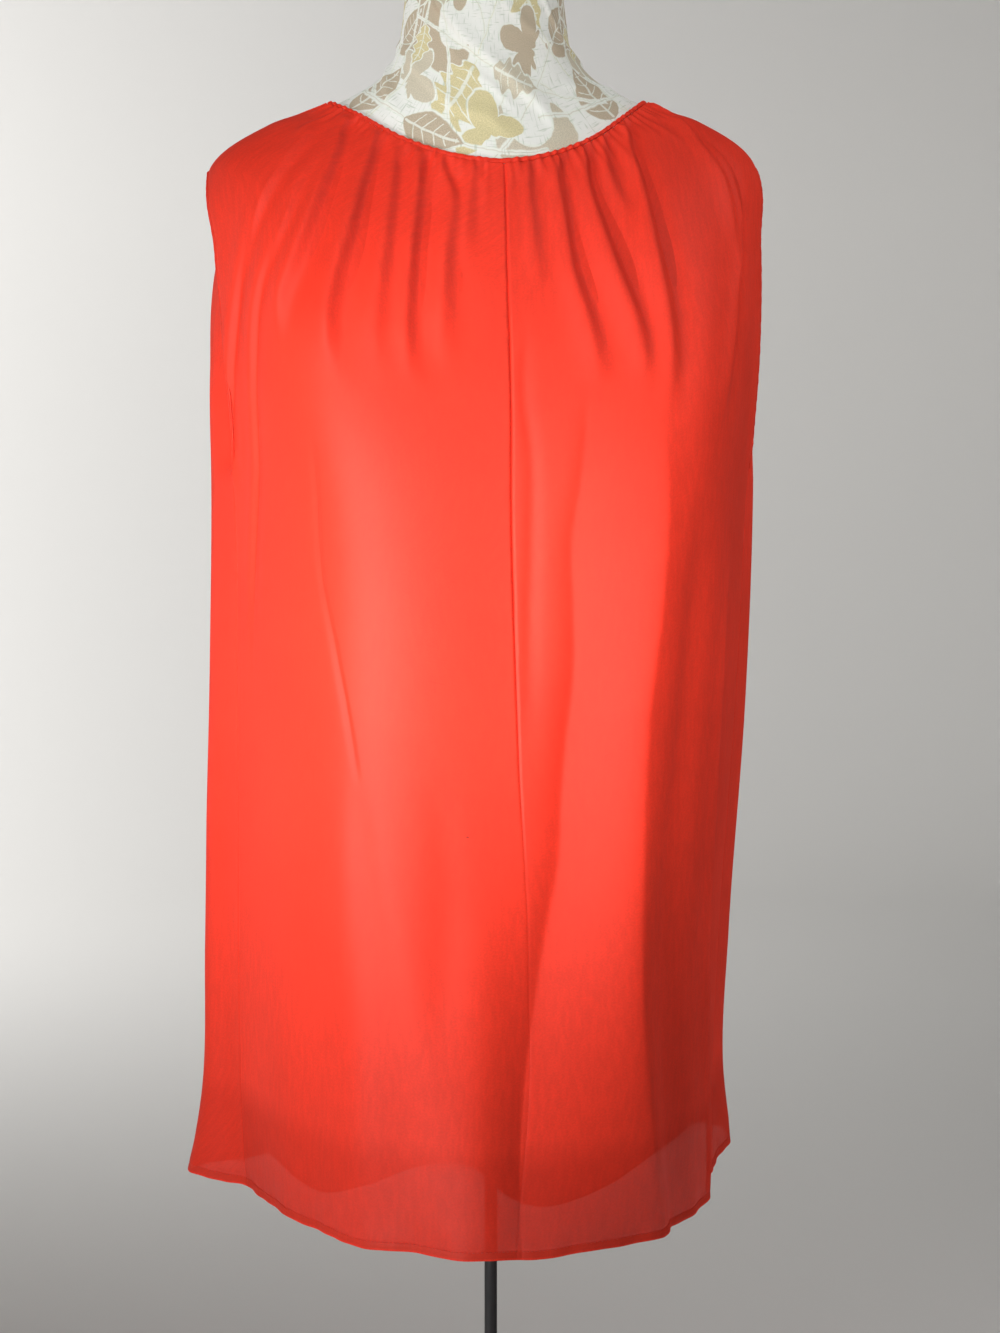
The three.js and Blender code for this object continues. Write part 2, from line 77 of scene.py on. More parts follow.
# Level sections of the plain surface: drop, front y, cheek x y, side x y, rear x y, back y, shift
# of the whole along x, skew of the rear, and height above the hem at the front, side and back.
SECTIONS = np.array([
    [-112, -51, 42, -35, 60, 4, 51, 33, 58, -4, 0, 905, 905, 905],
    [-72, -53, 45, -37, 64, 4, 54, 35, 60, -4, 0, 863, 865, 865],
    [-46, -57, 49, -40, 68, 4, 57, 37, 61, -4, 0, 828, 846, 842],
    [-22, -66, 61, -44, 84, 4, 68, 39, 63, -3, 0, 792, 827, 817],
    [0, -80, 80, -50, 115, 5, 90, 43, 66, -2, 0, 757, 811, 793],
    [46, -97, 98, -66, 161, 7, 122, 56, 84, -2, 0, 717, 795, 757],
    [96, -112, 117, -85, 202, 10, 166, 70, 100, -2, 0, 672, 767, 710],
    [160, -125, 134, -104, 205, 12, 190, 76, 112, 0, 0, 617, 705, 650],
    [240, -134, 134, -119, 203, 14, 202, 76, 119, 3, 0, 550, 627, 575],
    [330, -139, 125, -126, 195, 15, 206, 76, 124, 5, 0, 470, 539, 490],
    [500, -144, 119, -128, 190, 16, 207, 80, 132, 2, 0, 320, 369, 335],
    [690, -154, 116, -129, 184, 18, 204, 84, 144, -4, 8, 160, 180, 165],
    [800, -163, 121, -122, 182, 22, 206, 92, 154, -5, 18, 65, 70, 65],
    [870, -171, 124, -116, 181, 25, 220, 108, 162, -3, 26, 0, 0, 0],
], float)
KNOT_ANGLES = np.array([-238, -180, -122, -90, -45, 0, 45, 90, 122, 180, 238], float)

# Drop and angle of the centre front seam.
CENTRE_SEAM = np.array([[0, 0.4], [170, -1.2], [330, -3], [480, -0.8], [650, 3.6],
                        [760, 3.9], [870, -0.8]])

# Space between the lining and the form: drop, front, side, back.
EASE = np.array([
    [-112, 0, 0, 0], [74, 0, 0, 0], [100, .4, 1.6, .6], [160, 2, 12, 2.5], [240, 1, 24, 3],
    [330, 1, 26, 6], [430, 22, 48, 20], [500, 30, 56, 27], [600, 24, 28, 21], [700, 17, 11, 13],
], float)

# Height of the lining's hem above the dress hem, by angle.
LINING_HEM = np.array([[-180, 45], [-90, 32], [-52, 30], [-36, 46], [-24, 63], [-10, 64],
                       [-3, 46], [26, 44], [38, 56], [90, 50], [180, 45]], float)

# Folds of the outer cloth, one to a row: heights (troughs are under 0), widths of the slope on
# the -angle side and on the +angle side, each list spread evenly along the fold, the lengths over
# which it fades in and out, its roundness (2 soft, near 1 a crease), and its path's angles and
# drops.
FRONT_GATHERS = [
    ((2.2, 3, 3, 2.6), (9, 11, 12, 12), (3, 3.5, 3.6, 4), 25, 50, 1.7,
     (-67, -63.5, -63.8, -68.2, -74, -79.5, -86, -89.5), (20, 56, 106, 150, 197, 245, 300, 350)),
    ((-1, -3, -3, -2), (6, 6, 6, 6), (2, 2.2, 2.4, 2.4), 20, 30, 1.5, (-62, -66, -71, -76, -83),
     (60, 130, 180, 225, 290)),
    ((1.4, 2.2, 1.8, 1.2), (7, 10, 10, 12), (3, 4, 4, 5), 25, 120, 1.7,
     (-58, -56.8, -56.8, -60, -62.8, -66.8, -71.5, -76, -80.5, -82),
     (50, 86, 117, 148, 169, 204, 264, 320, 381, 500)),
    ((-0.8, -2.2, -2.2, -1.2), (5, 6, 6, 6), (1.8, 2, 2.4, 3), 30, 120, 1.5,
     (-56, -59.5, -65, -70, -74.5, -79, -80.5), (90, 148, 204, 264, 320, 381, 500)),
    ((2.8, 4.4, 4.2), (8, 11, 13), (3, 4.6, 6.5), 8, 60, 1.8, (-61, -54, -51, -53.5, -54.8, -58),
     (3, 47, 100, 152, 165, 225)),
    ((2.8, 4.6, 4.4), (8, 11, 13), (3, 4.8, 6.5), 8, 55, 1.8, (-46, -43, -41, -41.2, -43),
     (3, 56, 107, 121, 222)),
    ((2, 3.4, 3), (7, 9, 12), (3.4, 5, 8), 10, 60, 2, (-38, -35.5, -32.8, -31, -31),
     (3, 35, 76, 130, 205)),
    ((3, 4.6, 4.2), (7, 10, 12), (3, 4.8, 6.5), 5, 55, 1.7, (-29, -27.5, -26.5, -25.2, -23),
     (3, 29, 57, 104, 205)),
    ((2, 3.2, 2.8), (6, 9, 12), (3.4, 5, 8), 6, 60, 2, (-22.5, -17.5, -17, -16), (3, 33, 85, 185)),
    ((2.2, 2.4), (5, 8), (2.6, 6), 4, 50, 1.8, (-11, -11.5, -12), (3, 21, 100)),
    ((1.8, 2), (5, 8), (2.6, 6), 4, 50, 1.8, (8, 7.5, 7), (3, 30, 120)),
    ((2.6, 4.2, 3.8), (7, 10, 12), (3, 4.8, 6.5), 5, 55, 1.8, (19.8, 17.5, 17, 15.8, 17, 18),
     (3, 19, 45, 102, 150, 205)),
    ((3, 4.8, 4.4), (7, 10, 13), (3, 4.8, 6.5), 5, 60, 1.8, (29, 26.2, 26, 26.2, 27, 28),
     (3, 51, 72, 116, 160, 225)),
    ((2, 1.8), (5, 8), (2.6, 6), 4, 50, 1.8, (39, 36.8, 34), (3, 15, 100)),
    ((3.2, 5, 4.6), (8, 11, 14), (3.2, 4.8, 7), 6, 60, 1.7, (51, 46.2, 43, 37.8, 35, 34, 33.6),
     (3, 26, 52, 104, 150, 200, 245)),
    ((2.4, 3.4, 3), (8, 11, 12), (3, 4.4, 8), 15, 60, 1.8, (73, 70.2, 65.8, 63.5, 61),
     (20, 43, 65, 102, 180)),
    ((2.2, 3.4, 3), (8, 11, 13), (3, 4.2, 8), 25, 70, 1.8, (69.5, 67.2, 67, 63.8, 59, 57, 50),
     (60, 113, 133, 156, 181, 201, 285)),
    ((1.8, 1.4), (3, 6), (2.2, 4), 3, 20, 2, (77, 76), (4, 34)),
    ((2.2, 1.6), (3, 6), (2, 4), 3, 20, 2, (82, 82), (4, 30)),
    ((2, 1.4), (3, 5), (2, 4), 3, 16, 2, (86.5, 87.5), (4, 26)),
]
FRONT_FOLDS = [
    ((-0.5, -1.2, -1.6, -2.4, -0.6), (4, 5, 5, 4, 3), (3, 3, 2.6, 1.8, 2), 40, 14, 1.6,
     (-49.5, -52, -52.5, -48.5, -44.2, -41), (262, 320, 379, 428, 478, 524)),
    ((-1.2, -2.6, -4.6, -5.2), (7, 18, 26, 30), (7, 16, 22, 24), 60, 10, 2,
     (-41.5, -38.5, -33.2, -29.2, -26), (505, 605, 678, 754, 900)),
    ((-0.8, -1.4, -1), (12, 14, 14), (12, 14, 14), 60, 70, 2, (-21, -18, -20), (480, 600, 740)),
    ((1, 3, 4), (20, 24, 26), (16, 18, 20), 100, 10, 2, (-10, -9, -11), (560, 720, 900)),
    ((-9, -9), (36, 40), (36, 40), 220, 10, 2, (-52, -52), (560, 920)),
    ((-1.2, -1.6, -0.8), (4, 5, 6), (5, 6, 8), 40, 120, 2, (3.5, 1.5, 2.2, 1.2, 2),
     (133, 192, 234, 370, 500)),
    ((-1, -3.5, -6, -8, -7.5, -5.5), (5, 8, 11, 16, 16, 13), (30, 45, 55, 60, 55, 50), 60, 5, 1.25,
     (15.5, 14.2, 12.8, 11, 11.5, 12, 11, 10.2, 10, 8.6, 4, 1.5, 0.5),
     (180, 232, 270, 315, 357, 416, 460, 504, 566, 600, 712, 800, 890)),
    ((2, 6, 8, 8, 7), (22, 26, 30, 30, 30), (12, 14, 16, 16, 16), 90, 5, 1.35,
     (34, 32.2, 33.8, 33, 31, 30.8, 32, 33, 35, 36),
     (195, 229, 322, 391, 460, 503, 605, 700, 800, 900)),
    ((-3, -6, -8, -8), (14, 17, 20, 20), (22, 26, 30, 30), 120, 5, 2, (47, 46, 44, 45, 46),
     (280, 436, 600, 740, 900)),
    ((1.5, 4, 5, 5), (12, 14, 16, 16), (9, 10, 12, 12), 120, 5, 2, (66, 62.5, 64, 66, 68),
     (340, 484, 640, 760, 900)),
]
BACK_GATHERS = [
    ((2, 2.4), (8, 13), (4, 9), 20, 80, 1.8, (108, 112, 116), (60, 130, 250)),
    ((2.4, 2.8), (7, 12), (3, 8), 6, 80, 1.8, (127, 128, 126), (3, 60, 200)),
    ((1.8, 2.4), (7, 11), (3, 8), 6, 60, 2, (139, 138, 139), (3, 70, 150)),
    ((2.8, 3.2), (8, 12), (3, 9), 6, 90, 1.7, (151, 150, 147), (3, 80, 230)),
    ((2, 2.4), (7, 11), (3, 8), 6, 60, 2, (165, 165, 164), (3, 60, 170)),
    ((2.6, 3), (7, 12), (3, 9), 6, 90, 1.8, (176, 177, 178), (3, 90, 240)),
    ((2, 2.4), (7, 11), (3, 8), 6, 60, 2, (-171, -170, -171), (3, 50, 150)),
    ((2.6, 3.2), (8, 12), (3, 9), 6, 90, 1.7, (-158, -157, -153), (3, 90, 230)),
    ((1.8, 2.2), (7, 11), (3, 8), 6, 60, 2, (-147, -146, -146), (3, 50, 140)),
    ((2.6, 3), (8, 12), (3, 9), 6, 90, 1.8, (-135, -134, -131), (3, 70, 220)),
    ((1.8, 2.4), (8, 12), (4, 9), 10, 60, 2, (-123, -121, -122), (3, 60, 170)),
    ((2, 2.6), (8, 13), (4, 9), 20, 80, 1.8, (-110, -113, -118), (70, 140, 260)),
    ((1.6, 1.2), (3, 6), (2.2, 4), 3, 20, 2, (94, 95), (4, 32)),
    ((1.6, 1.2), (3, 6), (2.2, 4), 3, 20, 2, (-93, -94), (4, 30)),
]
BACK_FOLDS = [
    ((3, 6), (16, 30), (10, 18), 120, 5, 1.6, (136, 142, 148), (280, 500, 900)),
    ((-3, -6), (14, 24), (18, 30), 120, 5, 2, (170, 168, 172), (320, 560, 900)),
    ((3, 6), (10, 20), (18, 32), 120, 5, 1.6, (-164, -160, -156), (280, 520, 900)),
    ((-2.5, -5), (16, 26), (12, 22), 120, 5, 2, (-130, -134, -138), (340, 600, 900)),
    ((-1.5, -4), (8, 20), (8, 20), 100, 5, 2, (120, 122, 120), (420, 640, 900)),
    ((2, 4), (14, 24), (14, 24), 140, 5, 2, (-108, -110, -112), (460, 680, 900)),
    ((-0.8, -2, -0.6), (4, 4, 3), (2.6, 2, 2), 40, 30, 1.6, (156, 159, 161, 160),
     (250, 340, 430, 520)),
    ((-0.8, -1.6, -0.6), (3, 3, 3), (4, 4, 3), 40, 30, 1.6, (-147, -143, -146, -144),
     (300, 400, 500, 580)),
]

# ---- Smooth curves and the cloth's plain surface ----


def curve(knots, values, at):
    """A smooth curve through (knots, values); values may be (knots, points) for at (points,)."""
    knots, values, at = (np.asarray(x, float) for x in (knots, values, at))
    step = np.diff(knots).reshape(-1, *[1] * (values.ndim - 1))
    rate = np.diff(values, axis=0) / step
    slope = np.empty_like(values)
    slope[0], slope[-1] = rate[0], rate[-1]
    slope[1:-1] = (rate[:-1] * step[1:] + rate[1:] * step[:-1]) / (step[:-1] + step[1:])
    i = np.clip(np.searchsorted(knots, at, side="right") - 1, 0, len(knots) - 2)
    gap = np.diff(knots)[i]
    t = (at - knots[i]) / gap
    t2, t3 = t * t, t * t * t

    def pick(table, row):
        return table[row] if values.ndim == 1 else table[row, np.arange(at.size)]

    return ((2 * t3 - 3 * t2 + 1) * pick(values, i) + (t3 - 2 * t2 + t) * gap * pick(slope, i)
            + (3 * t2 - 2 * t3) * pick(values, i + 1) + (t3 - t2) * gap * pick(slope, i + 1))


def ramp(start, end, at):
    t = np.clip((at - start) / (end - start), 0, 1)
    return t * t * (3 - 2 * t)


def near_turn(angle):
    return (angle + 180) % 360 - 180


def plain_point(angle, drop):
    """Points in mm of the plain surface."""
    angle, drop = np.broadcast_arrays(np.asarray(angle, float), np.asarray(drop, float))
    shape = angle.shape
    turn, drop = near_turn(angle.ravel()), drop.ravel()
    (front_y, cheek_x, cheek_y, side_x, side_y, rear_x, rear_y, back_y, shift, skew, front_up,
     side_up, back_up) = (curve(SECTIONS[:, 0], column, drop) for column in SECTIONS.T[1:])
    zero = 0 * drop
    xs = np.stack([rear_x, zero, -rear_x, -side_x, -cheek_x, zero, cheek_x, side_x, rear_x, zero,
                   -rear_x])
    ys = np.stack([rear_y + skew, back_y, rear_y - skew, side_y, cheek_y, front_y, cheek_y, side_y,
                   rear_y + skew, back_y, rear_y - skew])
    x = curve(KNOT_ANGLES, xs, turn)
    y = curve(KNOT_ANGLES, ys, turn)
    end_up = np.where(np.abs(turn) < 90, front_up, back_up)
    rise = SHOULDER_RISE * np.clip((RISE_ENDS - drop) / RISE_FADES, 0, 1)
    z = HEM_HEIGHT + end_up + (side_up - end_up) * np.sin(np.radians(turn)) ** 2 + x * rise
    return np.stack([x + shift, y, z], -1).reshape(shape + (3,))


def unit(v):
    return v / np.linalg.norm(v, axis=-1, keepdims=True)


def surface_frame(angle, drop):
    """The outward normals of the plain surface, and its mm for each degree round."""
    around = plain_point(angle + 0.5, drop) - plain_point(angle - 0.5, drop)
    down = plain_point(angle, drop + 1) - plain_point(angle, drop - 1)
    return unit(np.cross(down, around)), np.linalg.norm(around, axis=-1)


def mm_at(angle, drop):
    return surface_frame(np.full_like(drop, angle), drop)[1]


def offset_point(angle, drop, out):
    angle, drop, out = np.broadcast_arrays(*(np.asarray(v, float) for v in (angle, drop, out)))
    return plain_point(angle, drop) + surface_frame(angle, drop)[0] * out[..., None]


def spread_list(values, along):
    return np.interp(along, np.linspace(0, 1, len(values)), values)


def fold_heights(folds, angle, drop, mm):
    """How far the outer cloth stands out of the plain surface at points."""
    height = np.zeros_like(angle)
    for heights, rises, falls, fade_in, fade_out, roundness, *path in folds:
        angles, drops = np.array(path, float)
        first, last = drops[0], drops[-1]
        near = (drop > first - 1) & (drop < last + 1)
        if not near.any():
            continue
        d = np.clip(drop[near], first, last)
        along = (d - first) / (last - first)
        across = near_turn(angle[near] - curve(drops, angles, d)) * mm[near]
        width = np.where(across < 0, spread_list(rises, along), spread_list(falls, along))
        size = spread_list(heights, along)
        size = size * ramp(first - 0.01, first + fade_in, d) * (1 - ramp(last - fade_out, last, d))
        height[near] += size * np.exp(-np.abs(across / width) ** roundness)
    room = DEEPEST_FOLD - FOLD_BEND
    eased = -FOLD_BEND + room * np.tanh(np.minimum(height + FOLD_BEND, 0) / room)
    return np.where(height < -FOLD_BEND, eased, height)


def dress_heights(angle, drop, mm):
    """fold_heights where front and back panels meet in one row of points."""
    return np.where(np.abs(angle) < 90, fold_heights(front_folds, angle, drop, mm),
                    fold_heights(back_folds, angle, drop, mm))


def armhole_curl(angle, drop):
    """How far the cloth behind an armhole curls in and the cloth before it stands out."""
    beyond = np.abs(near_turn(angle)) - 90
    from_side = beyond * mm_at(90, drop)
    away = np.maximum(0, from_side - armhole_cut(drop, CUT_BACK)) / CURL_REACH
    depth = CURL_DEPTH * ramp(CURL_START, CURL_FULL, drop) * (1 - ramp(CURL_ENDS, CURL_GONE, drop))
    ahead = np.maximum(0, -from_side - armhole_cut(drop, CUT_FRONT)) / EDGE_REACH
    lift = depth * EDGE_LIFT / CURL_DEPTH * np.exp(-ahead * ahead)
    return np.where(beyond < 0, -lift, depth * np.exp(-away * away))


def with_hollows(gathers):
    """The gathers, and beside each a hollow on the side where it falls steeply."""
    hollows = []
    for heights, rises, falls, fade_in, fade_out, roundness, *path in gathers:
        if heights[0] < 0:
            continue
        angles, drops = np.array(path, float)
        _, mm = surface_frame(angles, drops)
        shift = 2.2 * np.interp(drops, np.linspace(drops[0], drops[-1], len(falls)), falls) / mm
        hollows.append(([-0.55 * h for h in heights], [1.2 * f for f in falls],
                        [2.2 * f for f in falls], fade_in, fade_out, 2, angles + shift, drops))
    return gathers + hollows


def fine_gathers(seed, start, end):
    """Small gathers side by side along the neckline between two angles."""
    rng = np.random.default_rng(seed)
    folds, angle = [], start + 1.5
    while angle < end - 1.5:
        _, mm = surface_frame(np.array([angle]), np.array([4]))
        length = rng.uniform(14, 42) if rng.random() < 0.7 else rng.uniform(45, 75)
        height, wide = rng.uniform(1, 1.9), rng.uniform(1.7, 2.3)
        drift = rng.uniform(-1.5, 1.5)
        folds.append(((height, height * 0.7), (wide, wide * 2.6), (wide * 0.7, wide * 2.2), 0.5,
                      length * 0.7, 2, (angle, angle + drift), (2, 3 + length)))
        angle += rng.uniform(5.2, 8.6) / mm[0]
    return folds


def seam_dips(seams, angle, drop, mm):
    """Narrow grooves along seams, each given by its angle and depth at a drop."""
    return sum(-depth(drop) * np.exp(-(near_turn(angle - seam(drop)) * mm) ** 2)
               for seam, depth in seams)


def seam_angle(drop):
    return curve(CENTRE_SEAM[:, 0], CENTRE_SEAM[:, 1], drop)


def armhole_cut(drop, width):
    away = (drop - ARMHOLE_MIDDLE) / ARMHOLE_HALF
    return np.maximum(SEAM_GAP / 2, width * np.sqrt(np.maximum(0, 1 - away * away)))


def front_edge(drop, cut=CUT_FRONT):
    return 90 - armhole_cut(drop, cut) / mm_at(90, drop)


def back_edge(drop):
    return 180 - front_edge(drop, CUT_BACK)


def half_gap(drop):
    return SEAM_GAP / 8 / mm_at(0, drop)


# ---- Meshes ----


def mesh_object(name, points, faces, uv=None, sharp=50):
    """points in mm; uv is one (u, v) in metres for each point."""
    mesh = bpy.data.meshes.new(name)
    mesh.from_pydata((np.asarray(points) * 0.001).tolist(), [], [list(f) for f in faces])
    mesh.polygons.foreach_set("use_smooth", np.ones(len(mesh.polygons), bool))
    if uv is not None:
        corner = np.empty(len(mesh.loops), np.int32)
        mesh.loops.foreach_get("vertex_index", corner)
        layer = mesh.uv_layers.new(name="UVMap")
        layer.data.foreach_set("uv", np.asarray(uv, np.float32)[corner].ravel())
    welded = bmesh.new()
    welded.from_mesh(mesh)
    bmesh.ops.remove_doubles(welded, verts=welded.verts, dist=1e-7)
    welded.to_mesh(mesh)
    welded.free()
    if sharp:
        mesh.set_sharp_from_angle(angle=math.radians(sharp))
    mesh.update()
    made = bpy.data.objects.new(name, mesh)
    bpy.context.collection.objects.link(made)
    return made


def piece(made, node, material):
    """Gives a mesh its material, hangs it under the root, and hides the CAD node that it stands
    for.
    """
    made.data.materials.append(material)
    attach(made, "root")
    if node:
        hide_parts(node)
    return made


def shell_object(name, outer, inner, uv, sharp=50, tube=False):
    """A closed thin wall between two grids of points, rows going down and columns +angle.

    The first and last columns of a tube are in the same place, and are welded.
    """
    at = np.arange(outer[..., 0].size).reshape(outer.shape[:2])
    quads = np.stack([at[:-1, :-1], at[1:, :-1], at[1:, 1:], at[:-1, 1:]], -1).reshape(-1, 4)
    faces = [quads, (quads + at.size)[:, ::-1]]
    sides = [] if tube else [(at[:, 0], True), (at[:, -1], False)]
    for line, turned in sides + [(at[0], False), (at[-1], True)]:
        a, b = line[:-1], line[1:]
        quad = np.stack([a, b, b + at.size, a + at.size], -1)
        faces.append(quad[:, ::-1] if turned else quad)
    points = np.concatenate([outer.reshape(-1, 3), inner.reshape(-1, 3)])
    return mesh_object(name, points, np.concatenate(faces), np.tile(uv.reshape(-1, 2), (2, 1)),
                       sharp)


def ring_faces(count, sides, flip=False, closed=False):
    """Quads that join rings of points, one ring after another; closed joins last to first."""
    r, k = np.meshgrid(np.arange(count if closed else count - 1), np.arange(sides), indexing="ij")
    s, n = (r + 1) % count, (k + 1) % sides
    quads = np.stack([r * sides + k, r * sides + n, s * sides + n, s * sides + k], -1)
    return quads.reshape(-1, 4)[:, [0, 3, 2, 1] if flip else [0, 1, 2, 3]]


def loop_object(name, stations, uv):
    """A closed band of stations round a loop, each a ring of points."""
    faces = ring_faces(*stations.shape[:2], flip=True, closed=True)
    return mesh_object(name, stations.reshape(-1, 3), faces, uv.reshape(-1, 2), sharp=0)


def length_along(points):
    """The length from the first point of a line to each of its points."""
    step = np.linalg.norm(np.diff(points, axis=-2), axis=-1)
    return np.concatenate([np.zeros(step.shape[:-1] + (1,)), np.cumsum(step, axis=-1)], -1)


def arc_uv(points, drop):
    """UV in metres: the length along each row from its first column, and the drop."""
    along = length_along(points)
    return np.stack([along, np.broadcast_to(drop, along.shape)], -1) * 0.001


def column_places(count, edge=0.025, edge_count=10):
    """Places across a panel from 0 to 1, closer together near its two edges."""
    return np.concatenate([
        np.linspace(0, edge, edge_count, endpoint=False),
        np.linspace(edge, 1 - edge, count - 2 * edge_count, endpoint=False),
        np.linspace(1 - edge, 1, edge_count + 1),
    ])


def row_drops(start, spans):
    """Drops from start on; spans are (down to, spacing)."""
    drops = [start]
    for down_to, spacing in spans:
        count = max(1, round((down_to - drops[-1]) / spacing))
        drops += list(np.linspace(drops[-1], down_to, count + 1)[1:])
    return np.array(drops)


def panel_angles(drops, start, end, across):
    zero = np.zeros(1)
    from_start, to_end = start(zero)[0], end(zero)[0]
    a = across[None, :]
    return (from_start + (to_end - from_start) * a
            + (start(drops) - from_start)[:, None] * (1 - a) ** 4
            + (end(drops) - to_end)[:, None] * a ** 4)


# ---- Materials ----


class Shader:
    """A material and short ways to add nodes to it."""

    def __init__(self, name):
        self.material = bpy.data.materials.new(name)
        self.material.use_nodes = True
        self.nodes = self.material.node_tree.nodes
        self.links = self.material.node_tree.links
        self.surface = self.nodes["Principled BSDF"]

    def add(self, kind, out=0, inputs=(), **settings):
        made = self.nodes.new("ShaderNode" + kind)
        for key, value in settings.items():
            setattr(made, key, value)
        for key, value in dict(inputs).items():
            self.put(made, key, value)
        return made.outputs[out]

    def put(self, made, key, value):
        if isinstance(value, bpy.types.NodeSocket):
            self.links.new(value, made.inputs[key])
        else:
            made.inputs[key].default_value = value

    def set(self, **inputs):
        """Sets or links the shader's own inputs, named with _ for a space."""
        for key, value in inputs.items():
            self.put(self.surface, key.replace("_", " "), value)

    def math(self, operation, a, b=0, c=0, clamp=False):
        return self.add("Math", 0, {0: a, 1: b, 2: c}, operation=operation, use_clamp=clamp)

    def mix(self, factor, a, b, blend="MIX"):
        a, b = ((*k, 1) if isinstance(k, tuple) else k for k in (a, b))
        return self.add("Mix", 2, {0: factor, 6: a, 7: b}, data_type="RGBA", blend_type=blend)

    def noise(self, where, scale, detail=2, rough=0.5):
        return self.add("TexNoise", 0, {"Vector": where, "Scale": scale, "Detail": detail,
                                        "Roughness": rough})

    def times(self, a, b):
        return self.math("MULTIPLY", a, b)

    def scaled(self, where, *scale):
        return self.add("Mapping", 0, {"Vector": where, "Scale": scale})

    def parts(self, where):
        """The first two parts of a vector."""
        return (self.add("SeparateXYZ", k, {0: where}) for k in (0, 1))

    def shade(self, colour, grey):
        """A colour times a grey."""
        grey = self.add("CombineColor", 0, {0: grey, 1: grey, 2: grey})
        return self.mix(1, colour, grey, "MULTIPLY")

    def step(self, value, start, end, low=0, high=1):
        return self.add("MapRange", 0, {0: value, 1: start, 2: end, 3: low, 4: high},
                        interpolation_type="SMOOTHSTEP")

    def bump(self, height, strength, distance):
        self.set(Normal=self.add("Bump", 0, {"Height": height, "Strength": strength,
                                             "Distance": distance}))


def dimmed(colour, *shares):
    """A colour times one share, or times a share for each channel."""
    return tuple(c * k for c, k in zip(colour, shares * 3))


def crepe_cloth(name, colour, hem_alpha=None, marks=()):
    """Fine crepe: crinkled yarns, a faint weave, slow changes of tone, and marks of wear.

    hem_alpha is the cover of the sheer band above the hem. marks are (u, v, half width, half
    height, strength) in metres, for a speck or a pulled yarn.
    """
    s = Shader(name)
    uv = s.add("TexCoord", 2)
    u, v = s.parts(uv)
    crinkle = s.noise(uv, 620, 3, 0.6)
    slub = s.noise(s.scaled(uv, 1, 0.22, 1), 260)
    warp, weft = (s.math("SINE", s.times(k, 2 * math.pi / YARN_PITCH)) for k in (u, v))
    weave = s.times(warp, weft)
    base = s.mix(s.step(s.noise(uv, 5), 0.35, 0.65), dimmed(colour, 0.93), dimmed(colour, 1.05))
    base = s.shade(base, s.times(s.step(slub, 0.3, 0.75, 0.95, 1.04),
                                 s.step(crinkle, 0.3, 0.7, 0.94, 1.05)))
    for mark_u, mark_v, half_wide, half_high, strength in marks:
        du = s.math("DIVIDE", s.math("SUBTRACT", u, float(mark_u)), half_wide)
        dv = s.math("DIVIDE", s.math("SUBTRACT", v, float(mark_v)), half_high)
        far = s.math("ADD", s.times(du, du), s.times(dv, dv))
        spot = s.times(s.step(far, 0.3, 1, 1, 0), strength)
        base = s.mix(spot, base, dimmed(colour, 0.25, 0.3, 0.5))
    if hem_alpha:
        fades = s.step(v, SHEER_FROM * 0.001, (SHEER_FROM + SHEER_FADE) * 0.001, 1, hem_alpha)
        band = s.step(v, HEM_LINE * 0.001 - 0.0006, HEM_LINE * 0.001 + 0.0006)
        edge = s.step(v, HEM_DROP * 0.001 - 0.002, HEM_DROP * 0.001 - 0.0008)
        # Painted shade: the turned hem between its stitches and its edge is darkened and dulled,
        # standing for the light that the double cloth lets through less.
        base = s.mix(s.times(s.math("SUBTRACT", band, edge), 0.4), base,
                     dimmed(colour, 0.5, 0.7, 0.8))
        s.set(Alpha=s.math("MULTIPLY_ADD", band, 0.2, fades, clamp=True))
    s.set(Base_Color=base, Roughness=0.62, Specular_IOR_Level=0.36,
          Specular_Tint=(1, 0.92, 0.88, 1), Sheen_Weight=0.01, Sheen_Roughness=0.45,
          Sheen_Tint=(1, 0.45, 0.35, 1))
    s.bump(s.math("ADD", s.times(crinkle, 0.8), s.times(weave, 0.12)), 0.22, 0.00025)
    return s.material


def steel(name, colour, rough):
    """Painted steel with slow changes of tone and a fine grain."""
    s = Shader(name)
    where = s.add("TexCoord", 3)
    smear = s.noise(s.scaled(where, 1, 1, 0.2), 60, 4, 0.6)
    s.set(Base_Color=s.mix(s.step(smear, 0.3, 0.7), dimmed(colour, 0.75), colour), Metallic=0.45,
          Roughness=s.step(smear, 0.2, 0.8, rough - 0.07, rough + 0.1))
    s.bump(s.noise(where, 900), 0.12, 0.0001)
    return s.material


def thread(name, colour):
    s = Shader(name)
    twist = s.noise(s.add("TexCoord", 3), 2400)
    s.set(Base_Color=s.mix(s.step(twist, 0.35, 0.65), dimmed(colour, 0.7), colour), Roughness=0.45)
    s.bump(twist, 0.3, 0.0001)
    return s.material


def linen(name, colour, printed=False):
    """Slubby linen, plain or printed with a repeat of leaves and curls of this part's own."""
    s = Shader(name)
    uv = s.add("TexCoord", 2)
    threads = s.math("MAXIMUM", s.noise(s.scaled(uv, 0.12, 1, 1), 900),
                     s.noise(s.scaled(uv, 1, 0.12, 1), 900))
    base = s.mix(s.step(threads, 0.56, 0.72), colour, dimmed(colour, 0.74, 0.78, 0.72))
    s.set(Base_Color=print_over(s, uv, base) if printed else base, Roughness=0.85,
          Specular_IOR_Level=0.2)
    s.bump(threads, 0.35, 0.0003)
    return s.material


